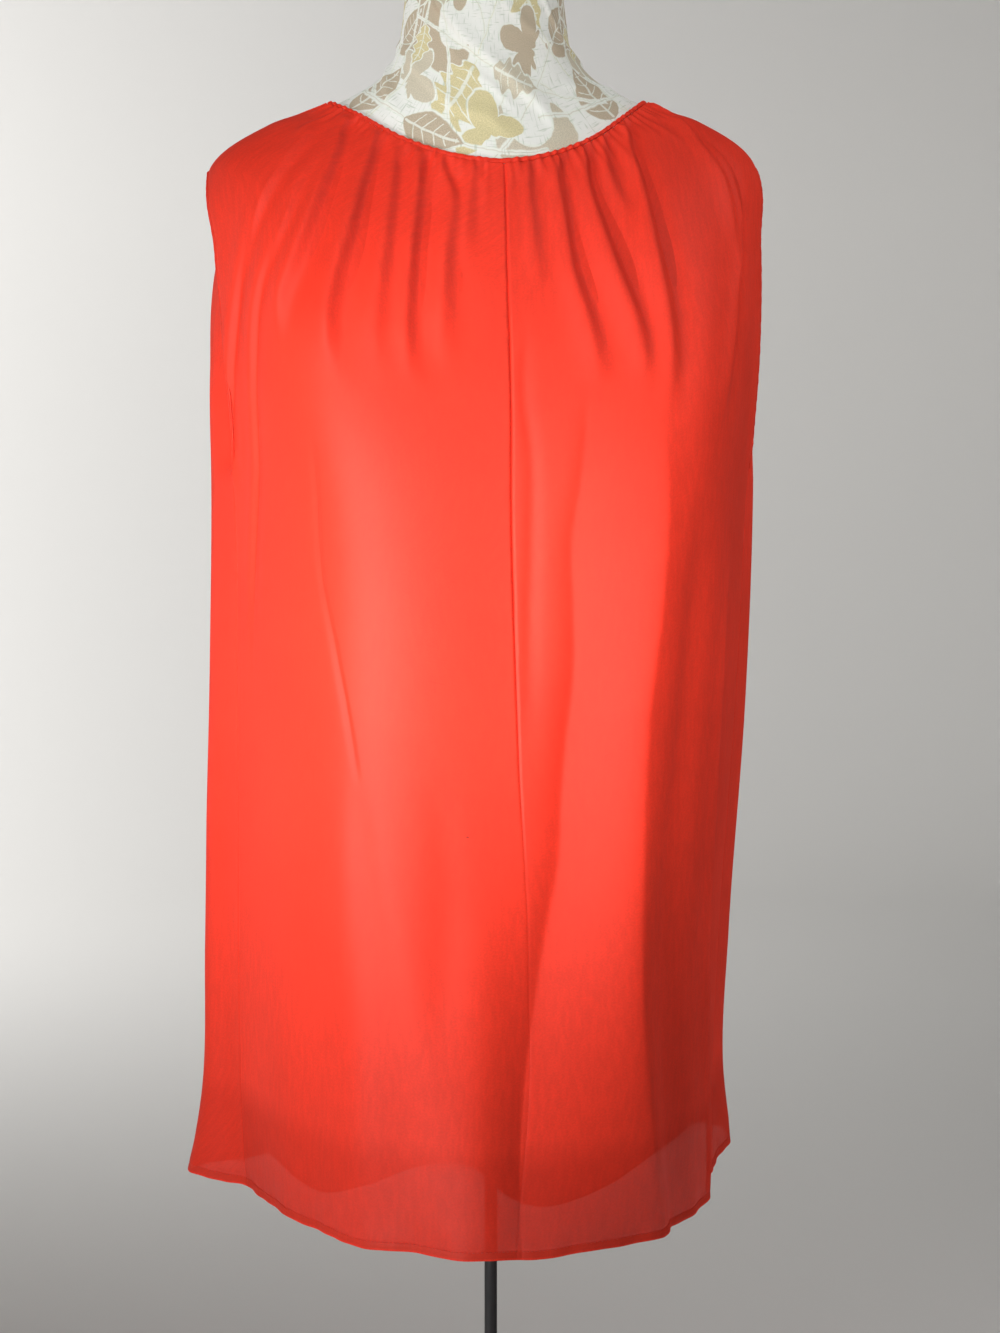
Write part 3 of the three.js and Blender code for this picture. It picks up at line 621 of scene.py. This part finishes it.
# The printed neck cloth, one shape to a row, in mm on the cloth: kind, colour, place (along,
# drop), turn in degrees, length (or radius), half width, and points (lobes, teeth, or how much of
# a turn a curl has).
PRINT_REPEAT = 120 * WRAP_MM
PRINT_COLOURS = {"taupe": (0.50, 0.41, 0.29), "sand": (0.60, 0.54, 0.41),
                 "straw": (0.66, 0.58, 0.31)}
PRINT_SHAPES = [
    ("curl", "taupe", (62, -76), 40, 29, 10, 0.74),
    ("curl", "taupe", (114, -62), 215, 25, 9, 0.70),
    ("curl", "sand", (22, -14), 150, 21, 7, 0.66),
    ("leaf", "straw", (12, -114), 60, 60, 22, 5),
    ("leaf", "straw", (132, -44), 118, 46, 17, 6),
    ("leaf", "taupe", (54, -54), -44, 38, 13, 0),
    ("leaf", "sand", (98, -114), 78, 38, 15, 4),
    ("hand", "taupe", (30, -52), 200, 25, 0, 5),
    ("hand", "sand", (86, -28), 300, 23, 0, 5),
    ("leaf", "taupe", (66, 0), -84, 34, 14, 0),
    ("hand", "straw", (142, -12), 250, 20, 0, 3),
    ("leaf", "sand", (0, -42), 24, 32, 10, 4),
    ("hand", "taupe", (122, -94), 30, 21, 0, 5),
    ("leaf", "straw", (86, -66), 96, 30, 10, 4),
    ("leaf", "taupe", (98, -8), 6, 32, 9, 0),
    ("curl", "sand", (46, -106), 300, 15, 5, 0.60),
]


def print_shape(s, place, kind, at, turn, length, wide, points):
    """How far inside one printed shape a place is, over 0 inside, in shares of its size."""
    along, drop = s.parts(place)
    along = s.math("WRAP", along, at[0] + PRINT_REPEAT / 2, at[0] - PRINT_REPEAT / 2)
    near = s.add("CombineXYZ", 0, {0: along, 1: drop})
    size = (length, wide if kind == "leaf" else length, 1)
    near = s.add("Mapping", 0, {"Vector": near, "Location": (*at, 0), "Scale": size,
                                "Rotation": (0, 0, math.radians(turn))}, vector_type="TEXTURE")
    x, y = s.parts(near)
    if kind == "leaf":
        share = s.math("ADD", x, 0, clamp=True)
        edge = s.math("SINE", s.times(s.math("POWER", share, 0.75), math.pi))
        if points:
            teeth = s.math("SINE", s.times(share, 2 * math.pi * points))
            edge = s.times(edge, s.math("MULTIPLY_ADD", teeth, 0.22, 0.80))
        return s.math("SUBTRACT", edge, s.math("ABSOLUTE", y)), x, y
    far = s.math("SQRT", s.math("ADD", s.times(x, x), s.times(y, y)))
    bearing = s.math("ARCTAN2", y, x)
    if kind == "hand":
        lobes = s.math("ABSOLUTE", s.math("COSINE", s.times(bearing, points / 2)))
        reach = s.math("MULTIPLY_ADD", lobes, 0.62, 0.38)
        front = s.step(s.math("ABSOLUTE", bearing), 1.9, 2.4, 1, 0.25)
        return s.math("SUBTRACT", s.times(reach, front), far), x, y
    share = s.math("DIVIDE", s.math("ADD", bearing, math.pi), 2 * math.pi * points)
    share = s.math("ADD", share, 0, clamp=True)
    taper = s.math("POWER", s.math("SINE", s.times(share, math.pi)), 0.6)
    off = s.math("ABSOLUTE", s.math("SUBTRACT", far, s.math("MULTIPLY_ADD", share, 0.35, 0.65)))
    return s.math("SUBTRACT", s.times(taper, wide / length), off), x, y


def print_over(s, uv, base):
    """The base colour with the print's shapes over it, each with a white outline."""
    white = s.mix(1, base, (0.98, 1, 0.97), "MULTIPLY")
    place = s.add("VectorMath", 0, {0: uv, 1: (1000, 1000, 1000)}, operation="MULTIPLY")
    wobble = s.add("TexNoise", 1, {"Vector": uv, "Scale": 120, "Detail": 2})
    wobble = s.add("VectorMath", 0, {0: wobble, 1: (3, 3, 0)}, operation="MULTIPLY")
    place = s.add("VectorMath", 0, {0: place, 1: wobble}, operation="ADD")
    grain = s.step(s.noise(uv, 1500, 2, 0.6), 0.35, 0.65, 0.90, 1.12)
    for kind, tint, at, turn, length, wide, points in PRINT_SHAPES:
        inside, x, y = print_shape(s, place, kind, at, turn, length, wide, points)
        size = wide if kind == "leaf" else length
        soft, line = 0.5 / size, 1.3 / size
        base = s.mix(s.step(inside, -line - soft, -line + soft), base, white)
        ink = s.shade(PRINT_COLOURS[tint], grain)
        base = s.mix(s.step(inside, -soft, soft, 0, 0.92), base, ink)
        if kind == "leaf":
            slope = s.math("ABSOLUTE", y)
            ribs = s.math("FRACT", s.math("MULTIPLY_ADD", slope, -0.9, s.times(x, length / 5.5)))
            vein = s.math("MAXIMUM", s.step(slope, 0.04, 0.09, 1, 0),
                          s.step(s.math("ABSOLUTE", s.math("SUBTRACT", ribs, 0.5)), 0.42, 0.46))
            vein = s.times(vein, s.step(inside, 0.14, 0.2))
            base = s.mix(s.times(vein, 0.8), base, white)
    return base


# ---- The dress ----

front_folds = (with_hollows(FRONT_GATHERS) + FRONT_FOLDS + fine_gathers(11, -84, -1)
               + fine_gathers(12, 1, 84))
back_folds = with_hollows(BACK_GATHERS) + BACK_FOLDS + fine_gathers(13, 96, 264)

COLOUR = (0.86, 0.037, 0.015)
SHEER = crepe_cloth("sheer_crepe", COLOUR, hem_alpha=0.81)
LINED = crepe_cloth("lining_crepe", (0.80, 0.032, 0.012))
TRIM = crepe_cloth("trim_crepe", (0.80, 0.031, 0.011))
THREAD = thread("thread", (0.70, 0.035, 0.018))


def ripples(angle, *waves):
    """Waves round the form, each with its size, how many there are, and a turn in degrees."""
    return sum(size * np.sin(np.radians(angle * count + turn)) for size, count, turn in waves)


def hem_out(angle, drop):
    """The turned hem: a stitched groove, and low ripples along the edge."""
    near = ramp(HEM_DROP - 26, HEM_DROP, drop)
    groove = -0.35 * np.exp(-((drop - HEM_LINE) / 1.1) ** 2)
    return near * ripples(angle, (0.9, 9, 40), (0.6, 21, 10), (0.35, 47, 0)) + groove


def hem_sag(angle, drop):
    """How much lower the hem's edge hangs in places."""
    return ramp(HEM_DROP - 60, HEM_DROP, drop) * ripples(angle, (0.8, 7, 70), (0.5, 17, 0))


def cloth_sheet(name, plain, normal, drop, out, thick):
    """A sheet whose outer face stands out of the plain points, and its UV grid."""
    outer = plain + normal * out[..., None]
    uv = arc_uv(outer, drop)
    return shell_object(name, outer, plain + normal * (out - thick)[..., None], uv), uv


def outer_panel(name, node, folds, start, end, columns, rows, seams, marks=()):
    """marks are (angle, drop, half width, half height, strength), the lengths in mm."""
    across = column_places(columns)
    drops = row_drops(NECK_WIDTH + SEAM_GAP, rows)
    angle = panel_angles(drops, start, end, across)
    drop = np.broadcast_to(drops[:, None], angle.shape)
    normal, mm = surface_frame(angle, drop)
    out = (fold_heights(folds, angle, drop, mm) + hem_out(angle, drop) - armhole_curl(angle, drop)
           + seam_dips(seams, angle, drop, mm))
    plain = plain_point(angle, drop + hem_sag(angle, drop))
    thick = np.where(drop > HEM_LINE, HEM_THICK, SHEER_THICK)
    made, uv = cloth_sheet(name, plain, normal, drop, out, thick)
    placed = []
    for at_angle, at_drop, wide, high, strength in marks:
        row = np.abs(drops - at_drop).argmin()
        column = np.abs(angle[row] - at_angle).argmin()
        placed.append((*uv[row, column], wide * 0.001, high * 0.001, strength))
    piece(made, node, crepe_cloth(name + "_crepe", COLOUR, marks=placed))
    made.data.materials.append(SHEER)
    # The outer and inner faces come first, row by row, and the rim's faces after them.
    row = np.tile(np.repeat(np.arange(len(drops) - 1), len(across) - 1), 2)
    sheer = np.array([p.center.z for p in made.data.polygons])
    sheer = sheer < plain_point(np.zeros(1), np.array([SHEER_FROM]))[0, 2] * 0.001
    sheer[:len(row)] = drops[row] > SHEER_FROM
    made.data.polygons.foreach_set("material_index", sheer.astype(np.int32))
    return made


def centre_depth(drop):
    return np.interp(drop, [0, 20, 340, 460, 560, 720, 870], [0.8, 1.5, 1.5, 1, 0.3, 0.15, 0.2])


def side_depth(drop):
    return np.interp(drop, [0, 90, 110, 320, 340, 700, 870], [0.5, 0.8, 0.3, 0.3, 0.8, 0.5, 0.3])


def round_back(drop):
    return 360 - back_edge(drop)


CENTRE_SEAMS = [(seam_angle, centre_depth)]
LEFT_SEAM, RIGHT_SEAM = [(lambda drop: -90, side_depth)], [(lambda drop: 90, side_depth)]
ALL_SEAMS = CENTRE_SEAMS + LEFT_SEAM + RIGHT_SEAM
FRONT_ROWS = [(60, 1.6), (260, 3), (850, 4.6), (HEM_DROP, 1.25)]
BACK_ROWS = [(60, 2.4), (260, 4.4), (850, 6.5), (HEM_DROP, 1.8)]
front_left = outer_panel(
    "front_left_cloth", "dress_front_left", front_folds,
    lambda drop: -front_edge(drop), lambda drop: seam_angle(drop) - half_gap(drop), 180, FRONT_ROWS,
    CENTRE_SEAMS + LEFT_SEAM,
    [(-13.5, 542, 1.1, 0.8, 0.8), (-52.7, 420, 5, 0.7, 0.25), (-54, 423, 2.5, 0.6, 0.25),
     (-21.2, 427, 7, 0.6, 0.22), (-22, 431, 0.7, 5, 0.18)])
front_right = outer_panel(
    "front_right_cloth", "dress_front_right", front_folds,
    lambda drop: seam_angle(drop) + half_gap(drop), front_edge, 180, FRONT_ROWS,
    CENTRE_SEAMS + RIGHT_SEAM)
back = outer_panel(
    "back_cloth", "dress_back", back_folds, back_edge, round_back, 230, BACK_ROWS,
    RIGHT_SEAM + LEFT_SEAM)


def lining_depth(drop):
    return CLOTH + LAYER_GAP + LINING_SPREAD * ramp(110, 300, drop)


def lining_hem_drop(angle):
    return HEM_DROP - curve(LINING_HEM[:, 0], LINING_HEM[:, 1], near_turn(angle))


def lining_panel(name, node, start, end, columns):
    across = column_places(columns, 0.02, 4)
    drops = row_drops(NECK_WIDTH + 2 * SEAM_GAP, [(100, 5), (320, 6), (720, 10)])
    angle = panel_angles(drops, start, end, across)
    drop = np.broadcast_to(drops[:, None], angle.shape)
    # The last rows are spread from there to the lining's own uneven hem.
    share = np.linspace(0, 1, LINING_FOOT_ROWS + 1)[1:, None]
    foot = angle[-1][None, :].repeat(LINING_FOOT_ROWS, 0)
    foot_drop = drops[-1] + (lining_hem_drop(foot) - drops[-1]) * share
    angle, drop = np.concatenate([angle, foot]), np.concatenate([drop, foot_drop])
    normal, _ = surface_frame(angle, drop)
    wave = ramp(500, 820, drop) * (ripples(angle, (0.3, 8, 25), (0.2, 19, 0)) - 0.2)
    out = wave - lining_depth(drop) - armhole_curl(angle, drop)
    thick = LINING_THICK + 0.5 * ramp(14, 11, lining_hem_drop(angle) - drop)
    made, _ = cloth_sheet(name, plain_point(angle, drop), normal, drop, out, thick)
    return piece(made, node, LINED)


lining_front = lining_panel("lining_front_cloth", "lining_front",
                            lambda drop: -front_edge(drop), front_edge, 150)
lining_back = lining_panel("lining_back_cloth", "lining_back", back_edge, round_back, 130)


# ---- Bindings and stitches ----


def neck_roll():
    """A thin rolled edge that holds the gathers, puckered where they meet it."""
    count, sides = 900, 12
    middle_drop, half_high, half_deep, pucker = 1.5, 1.38, 1.05, 0.12
    angle = np.arange(count) * 360 / count - 180
    along = length_along(plain_point(angle, middle_drop))
    rng = np.random.default_rng(5)
    knots = np.cumsum(rng.uniform(2.2, 4.4, 300))
    knots = knots[knots < along[-1] - 3]
    wave = np.interp(along, knots, np.tile([1, -1], len(knots))[:len(knots)])
    wave = pucker * np.sin(wave * math.pi / 2)[:, None]
    phi = np.linspace(0, 2 * math.pi, sides, endpoint=False)
    at = np.full_like(angle, NECK_WIDTH + SEAM_GAP)
    middle = 0.85 * dress_heights(angle, at, surface_frame(angle, at)[1])[:, None] - half_deep
    out = middle + (half_deep + wave) * np.sign(np.cos(phi)) * np.abs(np.cos(phi)) ** 0.8
    drop = middle_drop + (half_high + wave) * np.sin(phi)
    points = offset_point(angle[:, None], drop, out)
    uv = np.stack([np.broadcast_to(along[:, None], drop.shape), drop], -1) * 0.001
    return piece(loop_object("neck_roll", points[:, ::-1], uv), "neck_binding", TRIM)


def armhole_roll(side, name, node):
    """A bound armhole edge, on the side -1 or +1."""
    count, sides = 240, 10
    turn = (np.arange(count) * 2 * math.pi / count)[:, None]
    phi = np.linspace(0, 2 * math.pi, sides, endpoint=False)
    pucker = 0.1 * np.sin(turn * 57) + 0.06 * np.sin(turn * 91 + 1)
    half = ARMHOLE_WIDTH / 2
    inwards = SEAM_GAP + half + (half - 0.15) * np.sin(phi) + 0 * turn
    out = -0.45 + (1 + pucker) * np.cos(phi)
    width = np.where(np.sin(turn) > 0, CUT_FRONT, CUT_BACK) - inwards
    drop = ARMHOLE_MIDDLE - (ARMHOLE_HALF - inwards) * np.cos(turn)
    angle = side * (90 - width * np.sin(turn) / mm_at(90, drop))
    points = offset_point(angle, drop, out - armhole_curl(angle, drop))
    uv = np.stack([turn * 0.07 + 0 * out, out * 0.001], -1)
    return piece(loop_object(name, points if side > 0 else points[:, ::-1], uv), node, TRIM)


neck_roll()
armhole_roll(-1, "armhole_roll_left", "armhole_binding_left")
armhole_roll(1, "armhole_roll_right", "armhole_binding_right")


def stitches(name, starts, ends, normals):
    """Short thread loops from starts to ends, sunk a little into the cloth."""
    radius, sides = 0.22, 6
    along = unit(ends - starts)
    side = unit(np.cross(normals, along))
    up = np.cross(along, side)
    phi = np.linspace(0, 2 * math.pi, sides, endpoint=False)
    # Each ring is at a share of the stitch, with its lift and size in shares of the radius.
    rings = []
    for share, lift, size in [(0, -0.9, 0.35), (0.16, 0.35, 0.9), (0.5, 0.6, 1),
                              (0.84, 0.35, 0.9), (1, -0.9, 0.35)]:
        centre = starts + (ends - starts) * share + up * lift * radius
        rings.append(np.stack([centre + (side * math.cos(p) + up * math.sin(p)) * radius * size
                               for p in phi], 1))
    points = np.stack(rings, 1)
    first = (np.arange(len(points)) * len(rings) * sides)[:, None, None]
    quads = (ring_faces(len(rings), sides)[None] + first).reshape(-1, 4)
    ring = np.arange(sides)
    caps = np.stack([ring[::-1], (len(rings) - 1) * sides + ring])
    caps = (caps[None] + first).reshape(-1, sides)
    made = mesh_object(name, points.reshape(-1, 3), quads.tolist() + caps.tolist(), sharp=0)
    return piece(made, None, THREAD)


def hem_stitches(drop=HEM_LINE, pitch=2.9, length=2.1):
    angle = np.linspace(-179.9, 180, 2881)
    along = length_along(plain_point(angle, drop))
    begin = np.arange(1, along[-1] - 4, pitch)
    a0, a1 = np.interp(begin, along, angle), np.interp(begin + length, along, angle)
    keep = np.abs(near_turn(a0 - seam_angle(drop))) > 0.5

    def on(a):
        d = np.full_like(a, drop)
        normal, mm = surface_frame(a, d)
        out = dress_heights(a, d, mm) + hem_out(a, d) + 0.05 + seam_dips(ALL_SEAMS, a, d, mm)
        return plain_point(a, d + hem_sag(a, d)) + normal * out[..., None], normal

    (p0, n0), (p1, _) = on(a0[keep]), on(a1[keep])
    return stitches("hem_stitches", p0, p1, n0)


hem_thread = hem_stitches()

# ---- Dress form and stand ----


def form_point(angle, drop, deeper=0):
    turn = np.radians(angle)
    ease = [np.maximum(0, curve(EASE[:, 0], EASE[:, k], drop)) for k in (1, 2, 3)]
    end = np.where(np.cos(turn) > 0, ease[0], ease[2])
    inside = end + (ease[1] - end) * np.sin(turn) ** 2
    depth = lining_depth(drop) + LINING + LAYER_GAP + deeper
    normal, _ = surface_frame(angle, drop)
    level = unit(normal * np.array([1, 1, 0]))
    return plain_point(angle, drop) - normal * depth[..., None] - level * inside[..., None]


# Rolled folds of the cloth wrapped round the neck: height, width above, width below, and path.
WRAP_FOLDS = [
    (3.6, 7, 2.6, [(-66, -112), (-43, -83), (-18, -56.5), (5.5, -41.5), (21.5, -24), (28, -2)]),
    (2.4, 6, 2.4, [(-80, -60), (-56.5, -39), (-35, -30), (-23.5, -23), (-5.5, -20), (10, -8)]),
    (2.2, 4, 2.2, [(-92, -40), (-74, -26), (-60.5, -18), (-39.5, -5), (-30, 0)]),
    (1.6, 5, 3, [(-22, -112), (-2, -88), (22, -66), (44, -52), (70, -46)]),
    (1.8, 4, 2.4, [(30, -100), (44, -74), (60, -52), (84, -36), (110, -28)]),
    (1.2, 3, 2, [(-40, -64), (-22, -46), (-2, -34), (12, -22)]),
    (1.4, 3.5, 2.2, [(38, -30), (52, -22), (72, -16), (96, -12)]),
    (3, 7, 3, [(92, -112), (116, -84), (140, -58), (166, -40), (190, -20), (204, -2)]),
    (2.2, 6, 2.6, [(120, -112), (148, -92), (176, -74), (204, -60), (232, -48)]),
    (2, 5, 2.4, [(140, -30), (160, -22), (186, -12), (200, -4)]),
    (2.4, 6, 2.6, [(200, -112), (222, -88), (246, -66), (268, -52), (280, -40)]),
    (1.6, 4, 2.4, [(214, -36), (236, -28), (258, -20), (270, -10)]),
]


def wrap_height(angle, drop):
    """How far the wrapped cloth stands out, from signed distances to the fold lines in mm."""
    height = np.zeros_like(angle)
    for size, above, below, path in WRAP_FOLDS:
        line = np.array(path, float) * [WRAP_MM, 1]
        total = np.linalg.norm(np.diff(line, axis=0), axis=1).sum()
        base = np.full(angle.shape, 1e9)
        side = np.zeros_like(angle)
        along = np.zeros_like(angle)
        done = 0
        for a, b in zip(line[:-1], line[1:]):
            step = b - a
            length = np.linalg.norm(step)
            step = step / length
            for turn in (-360, 0, 360):
                du, dv = (angle + turn) * WRAP_MM - a[0], drop - a[1]
                t = np.clip(du * step[0] + dv * step[1], 0, length)
                eu, ev = du - t * step[0], dv - t * step[1]
                far = np.hypot(eu, ev)
                closer = far < base
                base = np.where(closer, far, base)
                side = np.where(closer, eu * step[1] - ev * step[0], side)
                along = np.where(closer, (done + t) / total, along)
            done += length
        width = np.where(side > 0, above, below)
        fade = ramp(-0.02, 0.18, along) * (1 - ramp(0.78, 1.02, along))
        height += size * fade * np.exp(-(base / width) ** 2)
    return height * (1 - ramp(-16, -5, drop)) * ramp(FORM_TOP_DROP, -100, drop)


def form_body():
    sides = 160
    drops = row_drops(FORM_TOP_DROP, [(-10, 6), (120, 8), (FORM_BOTTOM_DROP, 14)])
    angles = np.linspace(-180, 180, sides, endpoint=False)
    angle, drop = np.meshgrid(angles, drops)
    rings = form_point(angle, drop, 1.3 * (1 - ramp(WRAP_END, WRAP_END + 8, drop)))
    rings = np.concatenate([rim_rings(rings[0], (7, 4.5, 2, 0.6), (2.6, 2.2, 1.3, 0.4)), rings,
                            rim_rings(rings[-1], (0.8, 3, 6.5), (-1.2, -2.2, -3))])
    rings[:, :, 2] = np.maximum(rings[:, :, 2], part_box("form_torso")[0].z * 1000)
    count = len(rings)
    points = np.concatenate([rings.reshape(-1, 3), [rings[0].mean(0)], [rings[-1].mean(0)]])
    faces = ring_faces(count, sides, flip=True).tolist()
    last, top, bottom = (count - 1) * sides, count * sides, count * sides + 1
    for k in range(sides):
        n = (k + 1) % sides
        faces += [[top, k, n], [bottom, last + n, last + k]]
    uv = np.stack([np.broadcast_to(angles * 0.003, rings.shape[:2]), -rings[:, :, 2] * 0.001], -1)
    uv = np.concatenate([uv.reshape(-1, 2), [[0, 0], [0, 1]]])
    return piece(mesh_object("form_body", points, faces, uv, 60), "form_torso",
                 linen("form_linen", (0.80, 0.79, 0.72)))


def rim_rings(ring, insets, lifts):
    """Rings drawn in from one ring, for a rounded rim."""
    away = unit((ring - ring.mean(0)) * np.array([1, 1, 0]))
    return np.stack([ring - away * i + np.array([0, 0, up]) for i, up in zip(insets, lifts)])


def neck_wrap():
    drops = row_drops(FORM_TOP_DROP + 0.5, [(0, 1.15), (WRAP_END, 5)])
    angles = np.linspace(-180, 180, 361)
    angle, drop = np.meshgrid(angles, drops)
    height = wrap_height(angle, drop)
    outer = form_point(angle, drop) + surface_frame(angle, drop)[0] * height[..., None]
    inner = form_point(angle, drop, WRAP_THICK)
    outer[:, -1], inner[:, -1] = outer[:, 0], inner[:, 0]
    outer = np.concatenate([rim_rings(outer[0], (7, 5, 2.8, 1), (3.9, 3.5, 2.4, 0.8)), outer])
    inner = np.concatenate([rim_rings(inner[0], (6.8, 4.8, 2.6, 0.9), (3.1, 2.7, 1.7, 0.6)), inner])
    drops = np.concatenate([[-119, -117, -114.5, -112.5], drops])
    uv = np.stack(np.meshgrid(angles * WRAP_MM, drops), -1) * 0.001
    return piece(shell_object("neck_wrap", outer, inner, uv, 60, tube=True), "form_torso",
                 linen("neck_print", (0.86, 0.87, 0.82), printed=True))


form_body()
wrap = neck_wrap()


def turned(profile, segments):
    """Rings of points round the z axis from (radius, height) points."""
    turn = np.arange(segments) * 2 * math.pi / segments
    profile = np.array(profile, float)
    return np.stack([profile[:, :1] * np.cos(turn), profile[:, :1] * np.sin(turn),
                     profile[:, 1:] + 0 * turn], -1)


def lathe(name, profile, segments, node, material):
    """A round piece from (radius, height) points in mm, listed up its outside."""
    rings = turned(profile, segments)
    ring = np.arange(segments)
    faces = ring_faces(len(rings), segments).tolist()
    faces += [ring[::-1].tolist(), (ring + (len(rings) - 1) * segments).tolist()]
    made = mesh_object(name, rings.reshape(-1, 3), faces, sharp=35)
    return piece(made, node, material)


def arc(centre, radius, start, end, steps):
    turn = np.radians(np.linspace(start, end, steps))
    return [(centre[0] + radius * math.cos(t), centre[1] + radius * math.sin(t)) for t in turn]


def stand():
    axis = 0.01         # a radius of nearly nothing, where the middle of an end begins
    pole_low, pole_high = (c * 1000 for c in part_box("stand_pole"))
    base_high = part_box("stand_base")[1] * 1000
    pole_radius, base_radius = pole_high.x, base_high.x
    low, high, top = pole_low.z, pole_high.z, base_high.z
    plate, boss, soft, bevel, socket = 8, 17, 1.6, 0.5, 18
    rod = [(axis, low), (pole_radius - bevel, low), (pole_radius, low + bevel),
           (pole_radius, 0.5 * (low + high)), (pole_radius, high - bevel),
           (pole_radius - bevel, high), (axis, high)]
    lathe("pole_rod", rod, 64, "stand_pole", steel("pole_steel", (0.11, 0.11, 0.113), 0.34))
    profile = [(axis, 0), (base_radius - 4, 0)]
    profile += arc((base_radius - soft, soft), soft, -90, 0, 6)
    profile += arc((base_radius - soft, plate - soft), soft, 0, 90, 6)
    profile += [(boss + 6, plate), (boss + 2.5, plate + 0.7), (boss + 0.7, plate + 2.4),
                (boss, plate + 6)]
    profile += arc((boss - soft, top - soft), soft, 0, 90, 6)
    profile += [(pole_radius + 0.3, top), (pole_radius + 0.3, top - socket), (axis, top - socket)]
    lathe("base_plate", profile, 160, "stand_base",
          steel("base_steel", (0.065, 0.065, 0.068), 0.42))


stand()

# ---- Camera, stage and light ----

camera_data = bpy.data.cameras.new("camera")
camera_data.lens = 59.41
camera_data.sensor_width = 36
camera = bpy.data.objects.new("camera", camera_data)
camera.location = (-0.2213, -1.625, 0.930)
camera.rotation_euler = (math.radians(86.5), 0, math.radians(-8))
bpy.context.collection.objects.link(camera)
bpy.context.scene.camera = camera

# A pale floor that curves up into a round wall, left out of the cloth's reflections.
radius, bend, height = 6, 2, 6
rings = turned([(0.02, 0), (2, 0), *arc((radius - bend, bend), bend, -90, 0, 14),
                (radius, height)], 96)
faces = ring_faces(*rings.shape[:2], flip=True).tolist() + [list(range(96))]
floor = mesh_object("stage_floor", rings.reshape(-1, 3) * 1000, faces, sharp=0)
paint = Shader("stage_paint")
paint.set(Base_Color=(0.72, 0.71, 0.69, 1), Roughness=0.9, Specular_IOR_Level=0.1)
floor.data.materials.append(paint.material)
floor.visible_glossy = False


def area_light(name, place, target, size, watts, spread=180, glossy=True):
    """A lamp that the camera never sees, and the cloth only if it is glossy."""
    data = bpy.data.lights.new(name, "AREA")
    data.shape = "RECTANGLE"
    data.size, data.size_y = size
    data.energy = watts
    data.spread = math.radians(spread)
    made = bpy.data.objects.new(name, data)
    made.location = place
    aim = np.array(target, float) - np.array(place, float)
    made.rotation_euler = (math.acos(-aim[2] / np.linalg.norm(aim)), 0,
                           math.atan2(aim[1], aim[0]) - math.pi / 2)
    bpy.context.collection.objects.link(made)
    made.visible_camera = False
    made.visible_glossy = glossy


area_light("key", (-0.92, -0.94, 0.76), (0, 0, 0.80), (0.60, 0.36), 2.4, 60)
area_light("sheen", (-0.40, -1.28, 0.92), (-0.03, 0, 0.90), (0.5, 0.20), 0.62, 32)
area_light("top", (0.9, -0.6, 1.8), (0.2, 0, 1.2), (0.4, 0.4), 0.42, 60)
area_light("neck", (-0.9, -1.4, 1.75), (0, 0, 1.31), (0.15, 0.15), 0.20, 22)
area_light("overhead", (0, 1.1, 3.2), (0, 0.7, 0), (2.4, 2.4), 13, glossy=False)
area_light("rim", (1.6, 0.1, 0.9), (0.1, 0, 0.8), (0.6, 1.4), 7, glossy=False)
area_light("wall_wash", (-3, 2.2, 2.6), (-2.2, 6, 1.5), (1.2, 1.2), 215)
area_light("wall_soft", (0.4, 2.6, 2.6), (0.6, 6, 1.6), (1.6, 1.2), 2)

world = bpy.data.worlds.new("world")
world.use_nodes = True
background = world.node_tree.nodes["Background"].inputs
background[0].default_value, background[1].default_value = (0.95, 0.96, 1, 1), 0.05
world.cycles_visibility.glossy = False
bpy.context.scene.world = world
bpy.context.scene.view_settings.view_transform = "Standard"
